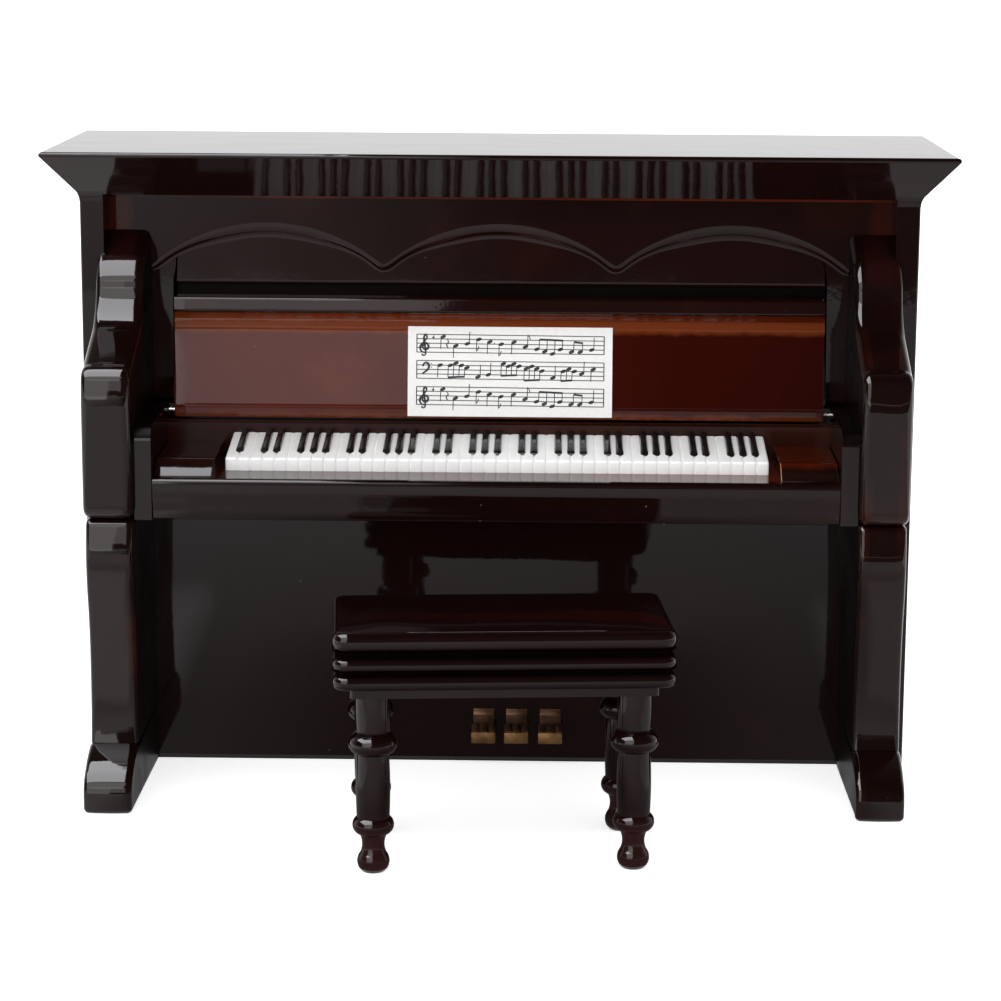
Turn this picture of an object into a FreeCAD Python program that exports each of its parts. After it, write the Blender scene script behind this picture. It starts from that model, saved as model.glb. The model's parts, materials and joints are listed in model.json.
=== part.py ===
import FreeCAD, Part
import math
import os

# Miniature upright piano with its stool, in millimetres.
# +Z is up, +X is to the player's right, the keyboard faces -Y.
# The origin lies on the floor under the middle of the piano's case.

# ---- driving dimensions -------------------------------------------------
CASE_WIDTH = 143.2
CASE_DEPTH = 44.0
CASE_HEIGHT = 101.0
SIDE_THICKNESS = 4.0
BACK_THICKNESS = 2.5
BOTTOM_THICKNESS = 3.0
EDGE_ROUND = 0.35

CORNICE_WIDTH = 156.0
CORNICE_OVERHANG = 6.4
CORNICE_HEIGHT = 7.6

PANEL_THICKNESS = 2.0
UPPER_PANEL_SETBACK = 9.0
LOWER_PANEL_SETBACK = 4.9
VALANCE_THICKNESS = 1.5
ARCH_COUNT = 3
ARCH_CHORD = 40.3
ARCH_VALLEY_Z = 86.6
ARCH_APEX_Z = 94.2
ARCH_EDGE_ROUND = 1.1

ARM_INNER_X = 60.5
ARM_OUTER_X = 68.7
ARM_BOTTOM_Z = 49.0
ARM_TOP_Z = 94.3
LEG_OUTER_X = 68.5
TOE_HEIGHT = 10.0

KEYBED_TOP_Z = 55.5
KEYBED_THICKNESS = 4.0
SLIP_FRONT = -19.4
SLIP_THICKNESS = 2.5
SLIP_BOTTOM_Z = 48.5
CHEEK_THICKNESS = 2.96
CHEEK_TOP_Z = 64.3
CHEEK_NOSE_RADIUS = 2.5

WHITE_KEY_COUNT = 44
KEY_PITCH = 2.093
KEY_FRONT = -11.2
KEY_BACK = 3.0
KEY_FRONT_Z = 57.7
KEY_BACK_Z = 59.7
KEY_NOSE_RADIUS = 0.8
KEY_GROOVE_WIDTH = 0.2
KEY_GROOVE_DEPTH = 0.5
BLACK_KEY_WIDTH = 1.1
BLACK_KEY_LENGTH = 11.0
BLACK_KEY_HEIGHT = 0.6
BLACK_KEY_TIP = 0.9

BLOCK_INNER_X = 47.7
BLOCK_OUTER_X = 57.4
BLOCK_FRONT = -17.0
BLOCK_TOP_Z = 58.0
BLOCK_SLOPE = 3.3
NAMEBOARD_THICKNESS = 1.6
NAMEBOARD_TOP_Z = 61.2

HINGE_SETBACK = 4.5
HINGE_Z = 63.2
FALLBOARD_HALF_WIDTH = 56.4
FALLBOARD_LENGTH = 19.6
FALLBOARD_THICKNESS = 2.0
FALLBOARD_HEEL = 1.25
FALLBOARD_LEAN = 9.5
LIP_HEIGHT = 2.7
LIP_REACH = 3.0
LIP_COVE = 1.8
PIN_RADIUS = 0.4
PIN_CLEARANCE = 0.05
PIN_DEPTH_IN_BOARD = 2.0
PIN_DEPTH_IN_CHEEK = 2.3

SHEET_X = (-15.8, 19.7)
SHEET_SPAN = (-0.8, 14.8)
SHEET_THICKNESS = 0.12

PEDAL_X = {"pedal_left": -2.3, "pedal_middle": 3.5, "pedal_right": 9.5}
PEDAL_PLATE_WIDTH = 3.8
PEDAL_TONGUE_WIDTH = 4.3
PEDAL_PLATE_Z = (3.4, 9.7)
PEDAL_PLATE_THICKNESS = 1.1
PEDAL_REACH = 4.4
PEDAL_TONGUE_Z = (4.45, 6.5)
PEDAL_ROOT_Z = 7.4

STOOL_CENTRE = (1.4, -44.4)
STOOL_YAW = 4.3
STOOL_LEG_X = 20.6
STOOL_LEG_Y = 9.9
STOOL_APRON_Z = 28.8
STOOL_SEAT_SIZE = (53.8, 27.4)
STOOL_LOWER_Z = (30.1, 32.35)
STOOL_MIDDLE_Z = (32.35, 35.1)
STOOL_TOP_Z = (35.1, 39.3)
STOOL_MIDDLE_NECK = 0.8
STOOL_TOP_NECK = 1.1
STOOL_NECK_INSET = 1.2
STOOL_CORNER_ROUND = 2.2
STOOL_APRON_SIZE = (48.4, 26.0)
STOOL_POMMEL = 5.4

# ---- derived places ------------------------------------------------------
HALF_WIDTH = CASE_WIDTH / 2
INNER_X = HALF_WIDTH - SIDE_THICKNESS
FRONT_Y = -CASE_DEPTH / 2
BACK_Y = CASE_DEPTH / 2
UPPER_PANEL_Y = FRONT_Y + UPPER_PANEL_SETBACK
LOWER_PANEL_Y = FRONT_Y + LOWER_PANEL_SETBACK
CHEEK_INNER_X = ARM_INNER_X - 0.04 - CHEEK_THICKNESS
HINGE_Y = FRONT_Y + HINGE_SETBACK

os.makedirs("parts", exist_ok=True)


# ---- helpers ---------------------------------------------------------------
def vec(x, y, z):
    return FreeCAD.Vector(x, y, z)


def block(x_range, y_range, z_range):
    """A box between two corners."""
    low = vec(x_range[0], y_range[0], z_range[0])
    return Part.makeBox(x_range[1] - x_range[0], y_range[1] - y_range[0], z_range[1] - z_range[0], low)


def at(setback, z):
    """A point of a side outline, setback measured back from the case's front plane."""
    return vec(0, FRONT_Y + setback, z)


def outline(steps):
    """A closed wire. Each step is a point for a line, or a (middle, end) pair for an arc."""
    edges = []
    here = steps[0]
    for step in steps[1:]:
        if isinstance(step, tuple):
            edges.append(Part.Arc(here, step[0], step[1]).toShape())
            here = step[1]
        else:
            edges.append(Part.LineSegment(here, step).toShape())
            here = step
    edges.append(Part.LineSegment(here, steps[0]).toShape())
    return Part.Wire(edges)


def side_extrusion(steps, x_range):
    """A side outline at X = 0, pushed out over an X range."""
    face = Part.Face(outline(steps))
    solid = face.extrude(vec(x_range[1] - x_range[0], 0, 0))
    solid.translate(vec(x_range[0], 0, 0))
    return solid


def mirrored(shape):
    """The same piece for the other side of the piano."""
    return shape.mirror(vec(0, 0, 0), vec(1, 0, 0))


def round_edges(shape, radius, wanted):
    """Fillet the edges for which wanted(centre, direction) is true."""
    chosen = []
    for edge in shape.Edges:
        if isinstance(edge.Curve, Part.Line):
            middle = edge.valueAt((edge.FirstParameter + edge.LastParameter) / 2)
            if wanted(middle, edge.Curve.Direction):
                chosen.append(edge)
    return shape.makeFillet(radius, chosen)


def export(name, shape):
    """Write one sub-part."""
    assert shape.isValid(), name
    shape.exportStep("parts/" + name + ".step")
    print(name, round(shape.Volume, 2), len(shape.Solids))


# ---- case ------------------------------------------------------------------
def top_cornice():
    """The lid board: its front and ends flare outwards to a thin rounded edge."""
    def rectangle(half_width, front, z):
        corners = [vec(-half_width, front, z), vec(half_width, front, z)]
        corners += [vec(half_width, BACK_Y, z), vec(-half_width, BACK_Y, z)]
        return Part.makePolygon(corners + corners[:1])
    top = CASE_HEIGHT + CORNICE_HEIGHT
    lower = rectangle(HALF_WIDTH, FRONT_Y, CASE_HEIGHT)
    upper = rectangle(CORNICE_WIDTH / 2, FRONT_Y - CORNICE_OVERHANG, top)
    slab = Part.makeLoft([lower, upper], True, True)
    return round_edges(slab, 0.5, lambda p, d: p.z > top - 0.1 and p.y < BACK_Y - 0.1)


def side_panel():
    """A full-height side board (right hand)."""
    board = block((INNER_X, HALF_WIDTH), (FRONT_Y, BACK_Y), (0, CASE_HEIGHT))
    return round_edges(board, EDGE_ROUND, lambda p, d: abs(d.z) > 0.9 and p.x > HALF_WIDTH - 0.1)


def back_panel():
    return block((-INNER_X, INNER_X), (BACK_Y - BACK_THICKNESS, BACK_Y), (0, CASE_HEIGHT))


def bottom_board():
    span = (LOWER_PANEL_Y + PANEL_THICKNESS, BACK_Y - BACK_THICKNESS)
    return block((-INNER_X, INNER_X), span, (0, BOTTOM_THICKNESS))


def upper_front_panel():
    span = (UPPER_PANEL_Y, UPPER_PANEL_Y + PANEL_THICKNESS)
    return block((-INNER_X, INNER_X), span, (KEYBED_TOP_Z - KEYBED_THICKNESS, CASE_HEIGHT))


def lower_front_panel():
    span = (LOWER_PANEL_Y, LOWER_PANEL_Y + PANEL_THICKNESS)
    return block((-INNER_X, INNER_X), span, (0, KEYBED_TOP_Z - KEYBED_THICKNESS))


def arch_valance():
    """A board across the top of the upper panel, cut below into equal arches."""
    half = ARCH_COUNT * ARCH_CHORD / 2
    steps = [vec(-INNER_X, 0, CASE_HEIGHT), vec(-INNER_X, 0, ARCH_VALLEY_Z)]
    steps.append(vec(-half, 0, ARCH_VALLEY_Z))
    for i in range(ARCH_COUNT):
        start = -half + i * ARCH_CHORD
        apex = vec(start + ARCH_CHORD / 2, 0, ARCH_APEX_Z)
        steps.append((apex, vec(start + ARCH_CHORD, 0, ARCH_VALLEY_Z)))
    steps += [vec(INNER_X, 0, ARCH_VALLEY_Z), vec(INNER_X, 0, CASE_HEIGHT)]
    board = Part.Face(outline(steps)).extrude(vec(0, VALANCE_THICKNESS, 0))
    front_arcs = [e for e in board.Edges if isinstance(e.Curve, Part.Circle) and e.CenterOfMass.y < 0.1]
    board = board.makeFillet(ARCH_EDGE_ROUND, front_arcs)
    board.translate(vec(0, UPPER_PANEL_Y - VALANCE_THICKNESS, 0))
    return board


# ---- arms, legs and toes -----------------------------------------------------
def notched(solid):
    """Cut the outer strip away behind the case's front plane, where the side board is."""
    side_board_space = block((INNER_X, HALF_WIDTH), (FRONT_Y, BACK_Y), (-1, CASE_HEIGHT))
    return solid.cut(side_board_space)


def arm():
    """The scrolled post beside the keys: a sloping top, an S-shaped front and a round nose (right hand)."""
    back = UPPER_PANEL_SETBACK - VALANCE_THICKNESS
    steps = [
        at(LOWER_PANEL_SETBACK, ARM_BOTTOM_Z),
        at(LOWER_PANEL_SETBACK, KEYBED_TOP_Z - KEYBED_THICKNESS),
        at(back, KEYBED_TOP_Z - KEYBED_THICKNESS),
        at(back, ARM_TOP_Z),
        at(-0.6, 90.9),
        (at(-2.02, 89.38), at(-3.1, 87.6)),
        (at(-3.42, 86.83), at(-3.55, 86.0)),
        (at(-5.22, 82.2), at(-8.3, 79.4)),
        at(-19.2, 74.7),
        (at(-20.43, 73.73), at(-21.2, 72.4)),
        (at(-22.25, 68.5), at(-22.6, 64.5)),
        (at(-22.9, 57.5), at(-22.6, 51.0)),
        (at(-22.0, 49.6), at(-20.6, ARM_BOTTOM_Z)),
    ]
    return notched(side_extrusion(steps, (ARM_INNER_X, ARM_OUTER_X)))


def leg():
    """The board under the arm, rounded at its top edge and hollowed along its front."""
    steps = [
        at(LOWER_PANEL_SETBACK, TOE_HEIGHT),
        at(LOWER_PANEL_SETBACK, ARM_BOTTOM_Z),
        at(-19.8, ARM_BOTTOM_Z),
        (at(-20.95, 48.4), at(-21.5, 46.9)),
        (at(-21.35, 41.5), at(-20.3, 36.0)),
        (at(-19.0, 24.0), at(-20.4, TOE_HEIGHT)),
    ]
    return notched(side_extrusion(steps, (ARM_INNER_X, LEG_OUTER_X)))


def toe():
    """The foot block under the leg."""
    steps = [
        at(LOWER_PANEL_SETBACK, 0),
        at(LOWER_PANEL_SETBACK, TOE_HEIGHT),
        at(-20.4, TOE_HEIGHT),
        (at(-23.4, 8.9), at(-26.2, 7.2)),
        (at(-28.2, 5.2), at(-28.8, 2.5)),
        at(-28.8, 0),
    ]
    return notched(side_extrusion(steps, (ARM_INNER_X, ARM_OUTER_X)))


# ---- keyboard ------------------------------------------------------------------
def keybed():
    span = (FRONT_Y + SLIP_FRONT + SLIP_THICKNESS, UPPER_PANEL_Y)
    return block((-CHEEK_INNER_X, CHEEK_INNER_X), span, (KEYBED_TOP_Z - KEYBED_THICKNESS, KEYBED_TOP_Z))


def key_slip():
    """The rail that closes the front of the keybed, rounded along its top edge."""
    front = FRONT_Y + SLIP_FRONT
    x_range = (-CHEEK_INNER_X, CHEEK_INNER_X)
    rail = block(x_range, (front, front + SLIP_THICKNESS), (SLIP_BOTTOM_Z, KEYBED_TOP_Z))
    return round_edges(rail, 0.9, lambda p, d: p.y < front + 0.1 and p.z > KEYBED_TOP_Z - 0.1)


def cheek():
    """The block at the end of the keys, bored for the fallboard's pin (right hand)."""
    nose = CHEEK_NOSE_RADIUS
    bend = nose * (1 - math.sqrt(0.5))
    steps = [
        at(SLIP_FRONT, SLIP_BOTTOM_Z),
        at(SLIP_FRONT, CHEEK_TOP_Z - nose),
        (at(SLIP_FRONT + bend, CHEEK_TOP_Z - bend), at(SLIP_FRONT + nose, CHEEK_TOP_Z)),
        at(UPPER_PANEL_SETBACK, CHEEK_TOP_Z),
        at(UPPER_PANEL_SETBACK, SLIP_BOTTOM_Z + 3.0),
        at(LOWER_PANEL_SETBACK, SLIP_BOTTOM_Z + 3.0),
        at(LOWER_PANEL_SETBACK, SLIP_BOTTOM_Z),
    ]
    solid = side_extrusion(steps, (CHEEK_INNER_X, CHEEK_INNER_X + CHEEK_THICKNESS))
    start = vec(CHEEK_INNER_X, HINGE_Y, HINGE_Z)
    bore = Part.makeCylinder(PIN_RADIUS + PIN_CLEARANCE, PIN_DEPTH_IN_CHEEK + 0.2, start, vec(1, 0, 0))
    return solid.cut(bore)


def key_top_z(setback):
    """Height of the white keys' sloping top."""
    return KEY_FRONT_Z + (KEY_BACK_Z - KEY_FRONT_Z) * (setback - KEY_FRONT) / (KEY_BACK - KEY_FRONT)


def white_key_strip():
    """All the white keys in one moulded strip, parted by grooves."""
    nose = KEY_NOSE_RADIUS
    bend = nose * (1 - math.sqrt(0.5))
    steps = [
        at(KEY_BACK, KEYBED_TOP_Z),
        at(KEY_BACK, KEY_BACK_Z),
        at(KEY_FRONT + nose, key_top_z(KEY_FRONT + nose)),
        (at(KEY_FRONT + bend, KEY_FRONT_Z - bend + 0.05), at(KEY_FRONT, KEY_FRONT_Z - nose)),
        at(KEY_FRONT, KEYBED_TOP_Z),
    ]
    half = WHITE_KEY_COUNT * KEY_PITCH / 2
    strip = side_extrusion(steps, (-half, half))
    grooves = []
    for i in range(1, WHITE_KEY_COUNT):
        x = -half + i * KEY_PITCH
        x_range = (x - KEY_GROOVE_WIDTH / 2, x + KEY_GROOVE_WIDTH / 2)
        depth = KEY_GROOVE_DEPTH
        groove = [
            at(KEY_BACK, KEY_BACK_Z - depth),
            at(KEY_BACK, KEY_BACK_Z + 1),
            at(KEY_FRONT - 1, KEY_BACK_Z + 1),
            at(KEY_FRONT - 1, KEYBED_TOP_Z + 0.3),
            at(KEY_FRONT + depth, KEYBED_TOP_Z + 0.3),
            at(KEY_FRONT + depth, key_top_z(KEY_FRONT + depth) - depth),
        ]
        grooves.append(side_extrusion(groove, x_range))
    return strip.cut(Part.makeCompound(grooves))


def black_key_gaps():
    """The gaps between white keys that carry a black key: A-B, then C-D-E and F-G-A-B."""
    gaps = [1]
    for octave_start in range(2, WHITE_KEY_COUNT, 7):
        gaps += [octave_start + step for step in (1, 2, 4, 5, 6)]
    return [gap for gap in gaps if gap < WHITE_KEY_COUNT]


def black_keys():
    """Separate black keys standing on the strip, each with a sloped tip."""
    half = WHITE_KEY_COUNT * KEY_PITCH / 2
    front = KEY_BACK - BLACK_KEY_LENGTH
    keys = []
    for gap in black_key_gaps():
        steps = [
            at(KEY_BACK, key_top_z(KEY_BACK)),
            at(KEY_BACK, key_top_z(KEY_BACK) + BLACK_KEY_HEIGHT),
            at(front + BLACK_KEY_TIP, key_top_z(front + BLACK_KEY_TIP) + BLACK_KEY_HEIGHT),
            at(front, key_top_z(front)),
        ]
        x = -half + gap * KEY_PITCH
        keys.append(side_extrusion(steps, (x - BLACK_KEY_WIDTH / 2, x + BLACK_KEY_WIDTH / 2)))
    return Part.makeCompound(keys)


def key_block():
    """The sloped block that fills the space between the keys and the cheek (right hand)."""
    brow = BLOCK_FRONT + BLOCK_SLOPE
    steps = [
        at(KEY_BACK, KEYBED_TOP_Z),
        at(KEY_BACK, BLOCK_TOP_Z),
        at(brow + 0.6, BLOCK_TOP_Z),
        (at(brow, BLOCK_TOP_Z - 0.15), at(brow - 0.4, BLOCK_TOP_Z - 0.5)),
        at(BLOCK_FRONT, KEYBED_TOP_Z + 0.5),
        at(BLOCK_FRONT, KEYBED_TOP_Z),
    ]
    return side_extrusion(steps, (BLOCK_INNER_X, BLOCK_OUTER_X))


def nameboard():
    span = (FRONT_Y + KEY_BACK, FRONT_Y + KEY_BACK + NAMEBOARD_THICKNESS)
    return block((-CHEEK_INNER_X, CHEEK_INNER_X), span, (KEYBED_TOP_Z, NAMEBOARD_TOP_Z))


# ---- fallboard, drawn upright about its hinge line and then leaned back --------
def leaned(shape):
    """Put a piece drawn about the X axis on the hinge line, at its open lean."""
    shape.rotate(vec(0, 0, 0), vec(1, 0, 0), -FALLBOARD_LEAN)
    shape.translate(vec(0, HINGE_Y, HINGE_Z))
    return shape


def fallboard():
    half_thickness = FALLBOARD_THICKNESS / 2
    width = FALLBOARD_HALF_WIDTH
    span = (-half_thickness, half_thickness)
    board = block((-width, width), span, (-FALLBOARD_HEEL, FALLBOARD_LENGTH))
    board = round_edges(board, 0.4, lambda p, d: p.z < -FALLBOARD_HEEL + 0.1 and abs(d.x) > 0.9)
    for side in (-1, 1):
        start = vec(side * (width - PIN_DEPTH_IN_BOARD), 0, 0)
        board = board.cut(Part.makeCylinder(PIN_RADIUS, PIN_DEPTH_IN_BOARD, start, vec(side, 0, 0)))
    return leaned(board)


def fallboard_lip():
    """The rail along the fallboard's free edge, with a cove under it."""
    base = -FALLBOARD_THICKNESS / 2
    front = base - LIP_REACH
    top = FALLBOARD_LENGTH
    bottom = top - LIP_HEIGHT
    cove_mid = vec(0, base - LIP_COVE * 0.3, bottom - LIP_COVE * 0.3)
    steps = [
        vec(0, base, top),
        vec(0, front + 0.4, top),
        (vec(0, front + 0.117, top - 0.117), vec(0, front, top - 0.4)),
        vec(0, front, bottom + 0.3),
        (vec(0, front + 0.088, bottom + 0.088), vec(0, front + 0.3, bottom)),
        vec(0, base - LIP_COVE, bottom),
        (cove_mid, vec(0, base, bottom - LIP_COVE)),
    ]
    return leaned(side_extrusion(steps, (-FALLBOARD_HALF_WIDTH, FALLBOARD_HALF_WIDTH)))


def pivot_pin():
    """A plain wire pin, fast in the fallboard and free in the cheek (right hand)."""
    start_x = FALLBOARD_HALF_WIDTH - PIN_DEPTH_IN_BOARD
    length = CHEEK_INNER_X + PIN_DEPTH_IN_CHEEK - start_x
    return Part.makeCylinder(PIN_RADIUS, length, vec(start_x, HINGE_Y, HINGE_Z), vec(1, 0, 0))


def music_sheet():
    face = -FALLBOARD_THICKNESS / 2
    return leaned(block(SHEET_X, (face - SHEET_THICKNESS, face), SHEET_SPAN))


# ---- pedals ----------------------------------------------------------------------
def pedal(centre_x):
    """A cast pedal: a plate on the lower panel with a short tongue."""
    plate_front = LOWER_PANEL_SETBACK - PEDAL_PLATE_THICKNESS
    tip = LOWER_PANEL_SETBACK - PEDAL_REACH
    plate = block(
        (centre_x - PEDAL_PLATE_WIDTH / 2, centre_x + PEDAL_PLATE_WIDTH / 2),
        (FRONT_Y + plate_front, LOWER_PANEL_Y),
        PEDAL_PLATE_Z,
    )
    plate = round_edges(plate, EDGE_ROUND, lambda p, d: p.y < FRONT_Y + plate_front + 0.1)
    low, high = PEDAL_TONGUE_Z
    steps = [
        at(LOWER_PANEL_SETBACK, low),
        at(LOWER_PANEL_SETBACK, PEDAL_ROOT_Z),
        at(plate_front, PEDAL_ROOT_Z),
        at(tip + 0.4, high),
        (at(tip + 0.1, high - 0.13), at(tip, high - 0.45)),
        at(tip, low + 0.3),
        at(tip + 0.3, low),
    ]
    half = PEDAL_TONGUE_WIDTH / 2
    tongue = side_extrusion(steps, (centre_x - half, centre_x + half))
    return plate.fuse(tongue).removeSplitter()


# ---- stool -------------------------------------------------------------------------
def stool_placed(shape):
    """Turn a piece drawn about the stool's centre and stand it before the keys."""
    shape.rotate(vec(0, 0, 0), vec(0, 0, 1), STOOL_YAW)
    shape.translate(vec(STOOL_CENTRE[0], FRONT_Y + STOOL_CENTRE[1], 0))
    return shape


def centred_block(size, z_range):
    return block((-size[0] / 2, size[0] / 2), (-size[1] / 2, size[1] / 2), z_range)


def beaded_board(z_range, neck):
    """A seat board with a round edge all the way round, over a set-back neck."""
    low = z_range[0] + neck
    high = z_range[1]
    board = centred_block(STOOL_SEAT_SIZE, (low, high))
    board = round_edges(board, STOOL_CORNER_ROUND, lambda p, d: abs(d.z) > 0.9)
    rims = [edge for edge in board.Edges if min(abs(edge.CenterOfMass.z - z) for z in (low, high)) < 0.01]
    board = board.makeFillet((high - low) * 0.42, rims)
    if neck > 0:
        inner = [length - 2 * STOOL_NECK_INSET for length in STOOL_SEAT_SIZE]
        board = board.fuse(centred_block(inner, (z_range[0], (low + high) / 2))).removeSplitter()
    return stool_placed(board)


def stool_apron():
    frame = centred_block(STOOL_APRON_SIZE, (STOOL_APRON_Z, STOOL_LOWER_Z[0]))
    return stool_placed(round_edges(frame, 1.0, lambda p, d: abs(d.z) > 0.9))


def stool_leg(side_x, side_y):
    """A turned leg: bun foot, neck, ring, long barrel and collar under a square block."""
    def ring(radius, z):
        return vec(radius, 0, z)
    steps = [
        ring(0, 0),
        ring(1.5, 0),
        (ring(2.55, 1.6), ring(1.9, 3.2)),
        (ring(1.75, 4.4), ring(2.2, 6.1)),
        (ring(3.3, 7.5), ring(2.65, 8.9)),
        ring(2.65, 19.2),
        (ring(3.9, 21.0), ring(2.6, 22.6)),
        ring(0, 22.6),
    ]
    turned = Part.Face(outline(steps)).revolve(vec(0, 0, 0), vec(0, 0, 1), 360)
    pommel = centred_block((STOOL_POMMEL, STOOL_POMMEL), (22.2, STOOL_APRON_Z))
    pommel = round_edges(pommel, 0.7, lambda p, d: abs(d.z) > 0.9)
    solid = turned.fuse(pommel).removeSplitter()
    solid.translate(vec(side_x * STOOL_LEG_X, side_y * STOOL_LEG_Y, 0))
    return stool_placed(solid)


# ---- write the parts ----------------------------------------------------------------
export("top_cornice", top_cornice())
export("back_panel", back_panel())
export("bottom_board", bottom_board())
export("upper_front_panel", upper_front_panel())
export("lower_front_panel", lower_front_panel())
export("arch_valance", arch_valance())
export("keybed", keybed())
export("key_slip", key_slip())
export("white_key_strip", white_key_strip())
export("black_keys", black_keys())
export("nameboard", nameboard())
export("fallboard", fallboard())
export("fallboard_lip", fallboard_lip())
export("music_sheet", music_sheet())

handed = {
    "side_panel": side_panel(),
    "arm": arm(),
    "leg": leg(),
    "toe": toe(),
    "cheek": cheek(),
    "key_block": key_block(),
    "pivot_pin": pivot_pin(),
}
for name, shape in handed.items():
    export(name + "_right", shape)
    export(name + "_left", mirrored(shape))

for name, centre_x in PEDAL_X.items():
    export(name, pedal(centre_x))

export("stool_seat_top", beaded_board(STOOL_TOP_Z, STOOL_TOP_NECK))
export("stool_seat_middle", beaded_board(STOOL_MIDDLE_Z, STOOL_MIDDLE_NECK))
export("stool_seat_lower", beaded_board(STOOL_LOWER_Z, 0))
export("stool_apron", stool_apron())
for row, side_y in (("front", -1), ("back", 1)):
    for hand, side_x in (("left", -1), ("right", 1)):
        export("stool_leg_" + row + "_" + hand, stool_leg(side_x, side_y))
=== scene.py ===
import json
import math
import random

import bmesh
import bpy
from mathutils import Matrix, Vector

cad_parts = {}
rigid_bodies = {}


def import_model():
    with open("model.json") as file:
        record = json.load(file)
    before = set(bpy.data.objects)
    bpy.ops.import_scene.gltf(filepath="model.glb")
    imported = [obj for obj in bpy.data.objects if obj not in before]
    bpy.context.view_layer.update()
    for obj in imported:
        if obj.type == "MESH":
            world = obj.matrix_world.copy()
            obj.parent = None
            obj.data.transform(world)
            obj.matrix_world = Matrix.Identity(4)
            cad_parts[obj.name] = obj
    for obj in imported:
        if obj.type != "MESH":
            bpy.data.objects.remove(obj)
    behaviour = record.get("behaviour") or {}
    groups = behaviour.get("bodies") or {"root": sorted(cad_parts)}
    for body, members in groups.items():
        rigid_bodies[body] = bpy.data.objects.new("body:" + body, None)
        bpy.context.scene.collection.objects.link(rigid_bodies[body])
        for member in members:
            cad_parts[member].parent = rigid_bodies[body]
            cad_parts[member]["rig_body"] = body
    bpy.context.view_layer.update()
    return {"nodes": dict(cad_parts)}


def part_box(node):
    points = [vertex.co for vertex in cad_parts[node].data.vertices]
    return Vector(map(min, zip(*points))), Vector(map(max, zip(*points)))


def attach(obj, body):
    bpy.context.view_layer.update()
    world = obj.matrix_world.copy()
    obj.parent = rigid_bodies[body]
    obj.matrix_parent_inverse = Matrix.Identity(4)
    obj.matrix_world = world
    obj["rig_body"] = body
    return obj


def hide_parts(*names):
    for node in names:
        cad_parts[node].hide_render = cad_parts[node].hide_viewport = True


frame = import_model()

MM = 0.001
CASE_FRONT_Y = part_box("side_panel_right")[0].y


# ---------------------------------------------------------------- node helpers
def feed(tree, value, socket):
    """Link a node's output to a socket, or set the socket itself to a plain number or colour."""
    if isinstance(value, (int, float)):
        socket.default_value = value
    elif isinstance(value, tuple):
        socket.default_value = (*value, 1)
    else:
        tree.links.new(value, socket)


def place_coordinates(tree, stretch=(1, 1, 1)):
    """Coordinates in metres in the row frame, stretched per axis."""
    source = tree.nodes.new("ShaderNodeTexCoord")
    mapping = tree.nodes.new("ShaderNodeMapping")
    mapping.inputs["Scale"].default_value = stretch
    tree.links.new(source.outputs["Object"], mapping.inputs["Vector"])
    return mapping.outputs["Vector"]


def new_material(name, stretch=(1, 1, 1)):
    """A material with its node tree, its Principled shader and the coordinates its textures use."""
    material = bpy.data.materials.new(name)
    material.use_nodes = True
    tree = material.node_tree
    shader = next(n for n in tree.nodes if n.type == "BSDF_PRINCIPLED")
    return material, tree, shader, place_coordinates(tree, stretch)


def noise(tree, where, scale, detail=2.0, roughness=0.5):
    node = tree.nodes.new("ShaderNodeTexNoise")
    node.inputs["Scale"].default_value = scale
    node.inputs["Detail"].default_value = detail
    node.inputs["Roughness"].default_value = roughness
    tree.links.new(where, node.inputs["Vector"])
    return node.outputs["Fac"]


def cells(tree, where, scale):
    """Distance to the nearest of many scattered points."""
    node = tree.nodes.new("ShaderNodeTexVoronoi")
    node.inputs["Scale"].default_value = scale
    tree.links.new(where, node.inputs["Vector"])
    return node.outputs["Distance"]


def remap(tree, value, low, high, to_low=0.0, to_high=1.0):
    node = tree.nodes.new("ShaderNodeMapRange")
    node.inputs["From Min"].default_value = low
    node.inputs["From Max"].default_value = high
    node.inputs["To Min"].default_value = to_low
    node.inputs["To Max"].default_value = to_high
    tree.links.new(value, node.inputs["Value"])
    return node.outputs["Result"]


def maths(tree, operation, a, b):
    node = tree.nodes.new("ShaderNodeMath")
    node.operation = operation
    feed(tree, a, node.inputs[0])
    feed(tree, b, node.inputs[1])
    return node.outputs["Value"]


def mixed(tree, factor, a, b):
    """Colour a where factor is 0, b where it is 1."""
    node = tree.nodes.new("ShaderNodeMix")
    node.data_type = "RGBA"
    tree.links.new(factor, node.inputs["Factor"])
    feed(tree, a, node.inputs["A"])
    feed(tree, b, node.inputs["B"])
    return node.outputs["Result"]


def finish(tree, shader, layers, inputs):
    """Feed the shader's named inputs, and chain bump layers of (height, depth in metres) into its normal."""
    for name, value in inputs.items():
        feed(tree, value, shader.inputs[name])
    normal = None
    for height, depth in layers:
        node = tree.nodes.new("ShaderNodeBump")
        node.inputs["Strength"].default_value = 1.0
        node.inputs["Distance"].default_value = depth
        tree.links.new(height, node.inputs["Height"])
        if normal is not None:
            tree.links.new(normal, node.inputs["Normal"])
        normal = node.outputs["Normal"]
    if normal is not None:
        tree.links.new(normal, shader.inputs["Normal"])


# ---------------------------------------------------------------- materials
LACQUER_IOR = 1.36
DUST_COLOUR = (0.30, 0.26, 0.24)
BAND_RAGGEDNESS = 0.0016
BULGE_SLOPES = (0.070, 0.050)


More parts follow.
